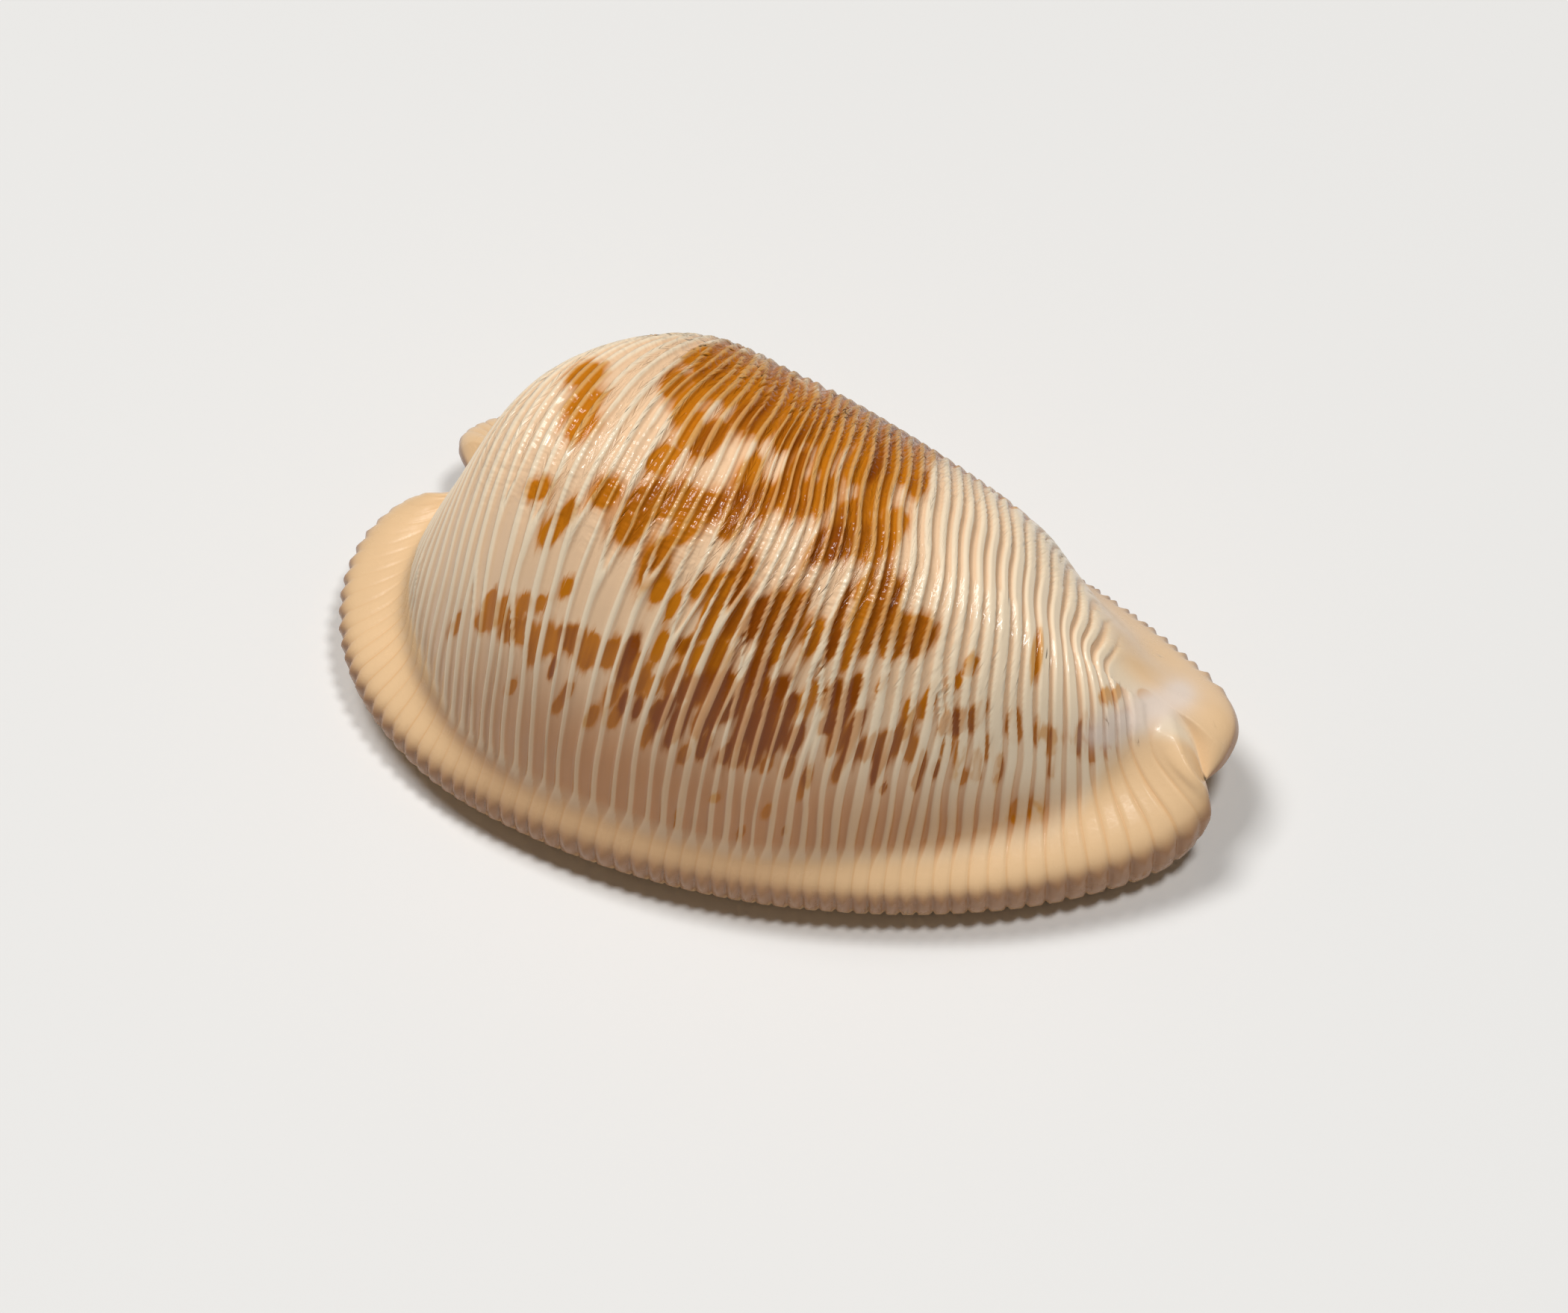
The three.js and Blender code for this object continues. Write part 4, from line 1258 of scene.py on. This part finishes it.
class Nodes:
    """Adds and links shader nodes in one tree, in the order that it is told."""

    def __init__(self, tree: bpy.types.NodeTree) -> None:
        """Keep a material's or group's node tree."""
        self.tree = tree

    def add(self, kind: str, **settings: object) -> bpy.types.Node:
        """Add a node and set its plain properties."""
        node = self.tree.nodes.new(kind)
        for name, value in settings.items():
            setattr(node, name, value)
        return node

    def feed(self, socket: bpy.types.NodeSocket, value: object) -> None:
        """Link an output to a socket, or set the socket's own value.

        Args:
            socket: The input.
            value: An output socket, a number or a colour.
        """
        if isinstance(value, bpy.types.NodeSocket):
            self.tree.links.new(value, socket)
        elif isinstance(value, tuple) and len(socket.default_value) == 4:
            socket.default_value = (*value[:3], 1.0)
        else:
            socket.default_value = value

    def math(self, operation: str, a: object, b: object) -> bpy.types.NodeSocket:
        """Work out a number from two others.

        Args:
            operation: The Math node's operation.
            a: The first number or output.
            b: The second number or output.

        Returns:
            The result's socket.
        """
        node = self.add("ShaderNodeMath", operation=operation)
        self.feed(node.inputs[0], a)
        self.feed(node.inputs[1], b)
        return node.outputs[0]

    def plus(self, a: object, b: object) -> bpy.types.NodeSocket:
        """Add two numbers or outputs."""
        return self.math("ADD", a, b)

    def less(self, a: object, b: object) -> bpy.types.NodeSocket:
        """Take the second number or output from the first."""
        return self.math("SUBTRACT", a, b)

    def times(self, a: object, b: object) -> bpy.types.NodeSocket:
        """Multiply two numbers or outputs."""
        return self.math("MULTIPLY", a, b)

    def higher(self, a: object, b: object) -> bpy.types.NodeSocket:
        """Take the higher of two numbers or outputs."""
        return self.math("MAXIMUM", a, b)

    def ramp(self, value: object, low: float, high: float, bottom: float = 0.0,
             top: float = 1.0) -> bpy.types.NodeSocket:
        """Rise smoothly from `bottom` at `low` to `top` at `high`.

        Args:
            value: The number or output that is read.
            low: Where the rise starts.
            high: Where it ends.
            bottom: The result up to `low`.
            top: The result from `high` on.

        Returns:
            The result's socket.
        """
        node = self.add("ShaderNodeMapRange", interpolation_type="SMOOTHSTEP")
        for name, number in (("From Min", low), ("From Max", high),
                             ("To Min", bottom), ("To Max", top)):
            node.inputs[name].default_value = number
        self.feed(node.inputs["Value"], value)
        return node.outputs["Result"]

    def mix(self, factor: object, a: object, b: object,
            blend: str = "MIX") -> bpy.types.NodeSocket:
        """Mix two colours.

        Args:
            factor: How much of the second there is.
            a: The first colour or output.
            b: The second colour or output.
            blend: The Mix node's way of blending.

        Returns:
            The mixed colour's socket.
        """
        node = self.add("ShaderNodeMix", data_type="RGBA", blend_type=blend)
        self.feed(node.inputs[0], factor)
        self.feed(node.inputs[6], a)
        self.feed(node.inputs[7], b)
        return node.outputs[2]

    def bank(self, bank: Bank) -> bpy.types.NodeSocket:
        """Read one of the skin's point attributes."""
        return self.add("ShaderNodeAttribute", attribute_name=bank.value).outputs["Fac"]


class Effect:
    """Shader node groups that more than one finish places, each built once."""

    @staticmethod
    def _group(name: str, inputs: dict[str, tuple[str, object]],
               outputs: dict[str, str]) -> tuple[bpy.types.NodeTree, Nodes, object, object]:
        """Start a shader node group with named sockets.

        Args:
            name: The group's name.
            inputs: Each input's socket type and default value, by name.
            outputs: Each output's socket type, by name.

        Returns:
            The group, its node adder, and its input and output nodes.
        """
        group = bpy.data.node_groups.new(name, "ShaderNodeTree")
        for socket_name, (kind, value) in inputs.items():
            socket = group.interface.new_socket(
                name=socket_name, in_out="INPUT", socket_type=kind)
            if value is not None:
                socket.default_value = value
        for socket_name, kind in outputs.items():
            group.interface.new_socket(name=socket_name, in_out="OUTPUT", socket_type=kind)
        nodes = Nodes(group)
        return group, nodes, nodes.add("NodeGroupInput"), nodes.add("NodeGroupOutput")

    @staticmethod
    def clouding() -> bpy.types.NodeTree:
        """Make the group that varies a colour softly, as grown or dusty surfaces do.

        Returns:
            The group: a vector, a scale and an amount in, a brightness factor out.
        """
        name = "clouding"
        if name in bpy.data.node_groups:
            return bpy.data.node_groups[name]
        group, nodes, start, end = Effect._group(
            name,
            {"Vector": ("NodeSocketVector", None), "Scale": ("NodeSocketFloat", 400.0),
             "Amount": ("NodeSocketFloat", 0.1)},
            {"Factor": "NodeSocketFloat"})
        noise = nodes.add("ShaderNodeTexNoise")
        noise.inputs["Detail"].default_value = 4.0
        nodes.feed(noise.inputs["Vector"], start.outputs["Vector"])
        nodes.feed(noise.inputs["Scale"], start.outputs["Scale"])
        swing = nodes.times(nodes.less(noise.outputs["Fac"], 0.5), start.outputs["Amount"])
        nodes.feed(end.inputs["Factor"], nodes.plus(swing, 1.0))
        return group

    @staticmethod
    def streaks() -> bpy.types.NodeTree:
        """Make the group of streaks drawn out along the ribs.

        Returns:
            The group: the rib map, the number of streaks along and across and a
            roughness in, a value about 0.5 out.
        """
        name = "streaks"
        if name in bpy.data.node_groups:
            return bpy.data.node_groups[name]
        group, nodes, start, end = Effect._group(
            name,
            {"Map": ("NodeSocketVector", None), "Along": ("NodeSocketFloat", 80.0),
             "Across": ("NodeSocketFloat", 12.0), "Detail": ("NodeSocketFloat", 2.0)},
            {"Value": "NodeSocketFloat"})
        parts = nodes.add("ShaderNodeSeparateXYZ")
        nodes.feed(parts.inputs[0], start.outputs["Map"])
        joined = nodes.add("ShaderNodeCombineXYZ")
        for k, name_of_scale in enumerate(("Along", "Across")):
            scaled = nodes.times(parts.outputs[k], start.outputs[name_of_scale])
            nodes.feed(joined.inputs[k], scaled)
        noise = nodes.add("ShaderNodeTexNoise")
        noise.inputs["Scale"].default_value = 1.0
        nodes.feed(noise.inputs["Vector"], joined.outputs[0])
        nodes.feed(noise.inputs["Detail"], start.outputs["Detail"])
        nodes.feed(end.inputs["Value"], noise.outputs["Fac"])
        return group

    @staticmethod
    def place(nodes: Nodes, group: bpy.types.NodeTree, **inputs: object) -> bpy.types.Node:
        """Place a group in a material.

        Args:
            nodes: The material's node adder.
            group: The group.
            **inputs: Values or outputs for the group's inputs, by name.

        Returns:
            The group's node.
        """
        node = nodes.add("ShaderNodeGroup", node_tree=group)
        for name, value in inputs.items():
            nodes.feed(node.inputs[name], value)
        return node


def start_material(name: str) -> tuple[bpy.types.Material, Nodes, bpy.types.Node,
                                       bpy.types.NodeSocket]:
    """Start a material.

    Args:
        name: The material's name.

    Returns:
        The material, its node adder, its shader, and the output of Object coordinates.
    """
    material = bpy.data.materials.new(name)
    material.use_nodes = True
    nodes = Nodes(material.node_tree)
    shader = material.node_tree.nodes["Principled BSDF"]
    return material, nodes, shader, nodes.add("ShaderNodeTexCoord").outputs["Object"]


@dataclass(frozen=True)
class ShellFinish:
    """Glossy shell: pale ribs on a tan ground, ochre blotches and a cream margin."""

    ground: Colour = (0.78, 0.54, 0.34)
    ground_low: Colour = (0.56, 0.26, 0.105)
    rib: Colour = (0.86, 0.70, 0.50)
    rib_low: Colour = (0.68, 0.44, 0.25)
    ochre: Colour = (0.52, 0.17, 0.006)
    brown: Colour = (0.25, 0.058, 0.002)
    golden: Colour = (0.62, 0.28, 0.04)
    cream: Colour = (0.80, 0.54, 0.30)
    cream_groove: Colour = (0.74, 0.45, 0.22)
    # Painted shade: a deeper tan that stands in for shade on the rim's downturned band
    cream_shade: Colour = (0.40, 0.20, 0.09)
    beak: Colour = (0.80, 0.66, 0.55)
    roughness: float = 0.17
    gloss: float = 0.28
    rough_swing: float = 0.08
    callus_dullness: float = 0.1
    rib_edge: Span = (0.25, 0.8)
    groove_edge: Span = (0.05, 0.6)
    mark_edge: Span = (0.08, 0.5)
    mark_reach: Span = (0.03, 0.12)
    fine_share: float = 0.65
    edge_swing: float = 1.35
    depth_swing: float = 0.9
    top_spread: float = 0.1
    cover_some: float = 0.75
    cover_top: float = 0.85
    cover_deep: float = 0.7
    bead_height: float = 0.00008
    grain_height: float = 0.000006

    def _body(self, nodes: Nodes, rib_map: object) -> bpy.types.NodeSocket:
        """Colour the domed body: ground, ribs and blotches.

        Args:
            nodes: The material's node adder.
            rib_map: The rib map's output.

        Returns:
            The body's colour.
        """
        flush = nodes.bank(Bank.FLUSH)
        mark = nodes.bank(Bank.MARK)
        on_top = nodes.bank(Bank.TOP)
        on_rib = nodes.ramp(nodes.bank(Bank.CREST), *self.rib_edge)
        ground = nodes.mix(flush, self.ground, self.ground_low)
        rib = nodes.mix(flush, self.rib, self.rib_low)
        bare = nodes.mix(on_rib, ground, rib)

        fine = Effect.place(nodes, Effect.streaks(), Map=rib_map, Along=150.0, Across=10.0)
        broad = Effect.place(nodes, Effect.streaks(), Map=rib_map, Along=45.0, Across=16.0)
        wander = nodes.plus(nodes.times(fine.outputs[0], self.fine_share),
                            nodes.times(broad.outputs[0], 1.0 - self.fine_share))
        wander = nodes.less(wander, 0.5)
        edge = nodes.plus(mark, nodes.times(wander, self.edge_swing))
        edge = nodes.plus(edge, nodes.times(on_top, self.top_spread))
        marked = nodes.times(nodes.ramp(edge, *self.mark_edge), nodes.ramp(mark, *self.mark_reach))
        depth = nodes.plus(nodes.bank(Bank.DEPTH), nodes.times(wander, self.depth_swing))
        depth = nodes.times(depth, nodes.ramp(edge, 0.2, 0.7, 0.7, 1.0))
        in_groove = nodes.mix(nodes.ramp(depth, 0.4, 1.0), self.ochre, self.brown)
        on_crest = nodes.mix(nodes.ramp(depth, 0.5, 1.1), self.golden, self.ochre)
        stain = nodes.mix(on_rib, in_groove, on_crest)

        covers = nodes.ramp(broad.outputs[0], 0.52, 0.66, 0.1, self.cover_some)
        covers = nodes.higher(covers, nodes.ramp(on_top, 0.0, 1.0, 0.0, self.cover_top))
        covers = nodes.higher(covers, nodes.ramp(depth, 0.55, 0.95, 0.0, self.cover_deep))
        bare_share = nodes.times(on_rib, nodes.less(1.0, covers))
        return nodes.mix(nodes.times(marked, nodes.less(1.0, bare_share)), bare, stain)

    def material(self) -> bpy.types.Material:
        """Make the shell's material.

        Returns:
            The material.
        """
        material, nodes, shader, place = start_material("glossy ribbed shell")
        rib_map = nodes.add("ShaderNodeUVMap", uv_map="ribs").outputs[0]

        body = self._body(nodes, rib_map)
        crest = nodes.ramp(nodes.bank(Bank.CREST), *self.groove_edge)
        margin = nodes.mix(crest, self.cream_groove, self.cream)
        # Painted shade: the rim's downturned band is darkened towards a deeper tan
        margin = nodes.mix(nodes.bank(Bank.FOOT), margin, self.cream_shade)
        colour = nodes.mix(nodes.bank(Bank.CALLUS), body, margin)
        colour = nodes.mix(nodes.bank(Bank.BEAK), colour, self.beak)
        clouds = Effect.place(nodes, Effect.clouding(), Vector=place, Scale=330.0, Amount=0.22)
        colour = nodes.mix(1.0, colour, clouds.outputs[0], "MULTIPLY")
        nodes.feed(shader.inputs["Base Color"], colour)

        dull = Effect.place(nodes, Effect.clouding(), Vector=place, Scale=900.0, Amount=1.0)
        rough = nodes.plus(nodes.times(nodes.less(dull.outputs[0], 1.0), self.rough_swing),
                           self.roughness)
        rough = nodes.plus(rough, nodes.times(nodes.bank(Bank.CALLUS), self.callus_dullness))
        nodes.feed(shader.inputs["Roughness"], rough)

        beads = Effect.place(nodes, Effect.streaks(), Map=rib_map, Along=110.0, Across=170.0,
                             Detail=1.0)
        grain = Effect.place(nodes, Effect.clouding(), Vector=place, Scale=5200.0, Amount=1.0)
        beaded = nodes.times(nodes.bank(Bank.BEADS), self.bead_height)
        height = nodes.plus(nodes.times(beads.outputs[0], beaded),
                            nodes.times(grain.outputs[0], self.grain_height))
        bump = nodes.add("ShaderNodeBump")
        bump.inputs["Strength"].default_value = 1.0
        bump.inputs["Distance"].default_value = 1.0
        nodes.feed(bump.inputs["Height"], height)
        nodes.feed(shader.inputs["Normal"], bump.outputs[0])
        shader.inputs["Specular IOR Level"].default_value = self.gloss
        return material


@dataclass(frozen=True)
class FloorFinish:
    """A plain pale floor with a faint unevenness."""

    colour: Colour = (0.78, 0.77, 0.75)
    roughness: float = 0.7

    def material(self) -> bpy.types.Material:
        """Make the floor's material."""
        material, nodes, shader, place = start_material("pale floor")
        clouds = Effect.place(nodes, Effect.clouding(), Vector=place, Scale=12.0, Amount=0.03)
        tint = nodes.mix(1.0, self.colour, clouds.outputs[0], "MULTIPLY")
        nodes.feed(shader.inputs["Base Color"], tint)
        shader.inputs["Roughness"].default_value = self.roughness
        return material


@dataclass(frozen=True)
class SoftLight:
    """A square soft light that looks at the shell."""

    name: str
    azimuth: float
    elevation: float
    distance: float
    size: float
    power: float


@dataclass
class Studio:
    """The floor, the lights and the camera."""

    view: PhotoView = field(default_factory=PhotoView)
    sensor: float = 36.0
    floor_size: float = 1.6
    lights: tuple[SoftLight, ...] = (
        SoftLight("key", 70.0, 76.0, 0.42, 0.06, 0.83),
        SoftLight("overhead", -105.0, 70.0, 0.6, 0.2, 2.2),
    )
    surroundings: float = 0.06

    def camera(self) -> None:
        """Set the camera where the photo was taken from."""
        place = Vector(self.view.station() * MM)
        back = Vector(view_axes(self.view.azimuth, self.view.elevation)[2])
        bpy.ops.object.camera_add(location=place)
        camera = bpy.context.active_object
        camera.name = "photo camera"
        camera.rotation_euler = back.to_track_quat("Z", "Y").to_euler()
        camera.data.sensor_width = self.sensor
        camera.data.lens = (self.sensor * self.view.distance * self.view.pixels_per_mm
                            / self.view.width)
        camera.data.clip_start = 0.01
        camera.data.clip_end = 10.0
        bpy.context.scene.camera = camera

    def floor(self) -> None:
        """Lay the plain pale floor."""
        clear_selection()
        bpy.ops.mesh.primitive_plane_add(size=self.floor_size)
        floor = bpy.context.active_object
        floor.name = "floor"
        floor.data.materials.append(FloorFinish().material())

    def light(self) -> None:
        """Hang the soft lights and set the pale surroundings."""
        for soft in self.lights:
            back = Vector(view_axes(soft.azimuth, soft.elevation)[2])
            aim = Vector((0.0, 0.0, 7.0 * MM))
            bpy.ops.object.light_add(type="AREA", location=aim + back * soft.distance)
            lamp = bpy.context.active_object
            lamp.name = soft.name
            lamp.rotation_euler = back.to_track_quat("Z", "Y").to_euler()
            lamp.data.shape = "SQUARE"
            lamp.data.size = soft.size
            lamp.data.energy = soft.power
        world = bpy.data.worlds.new("studio")
        world.use_nodes = True
        world.node_tree.nodes["Background"].inputs["Color"].default_value = (1, 1, 1, 1)
        world.node_tree.nodes["Background"].inputs["Strength"].default_value = (
            self.surroundings)
        bpy.context.scene.world = world
        bpy.context.scene.view_settings.view_transform = "Standard"


def dress_shell() -> bpy.types.Object:
    """Build the visible shell, dress it, and set it in place of its CAD solid.

    Returns:
        The shell's object.
    """
    shell = ShellPiece().build()
    shell.data.materials.clear()
    shell.data.materials.append(ShellFinish().material())
    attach(shell, "root")
    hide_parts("shell")
    LOG.info("%s: %d faces", shell.name, len(shell.data.polygons))
    return shell


def write_sizes() -> None:
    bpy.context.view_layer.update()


def main() -> None:
    """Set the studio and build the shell."""
    logging.basicConfig(level=logging.INFO, format="%(name)s: %(message)s")
    studio = Studio()
    studio.camera()
    studio.floor()
    studio.light()
    dress_shell()
    clear_selection()
    write_sizes()


if __name__ == "__main__":
    main()
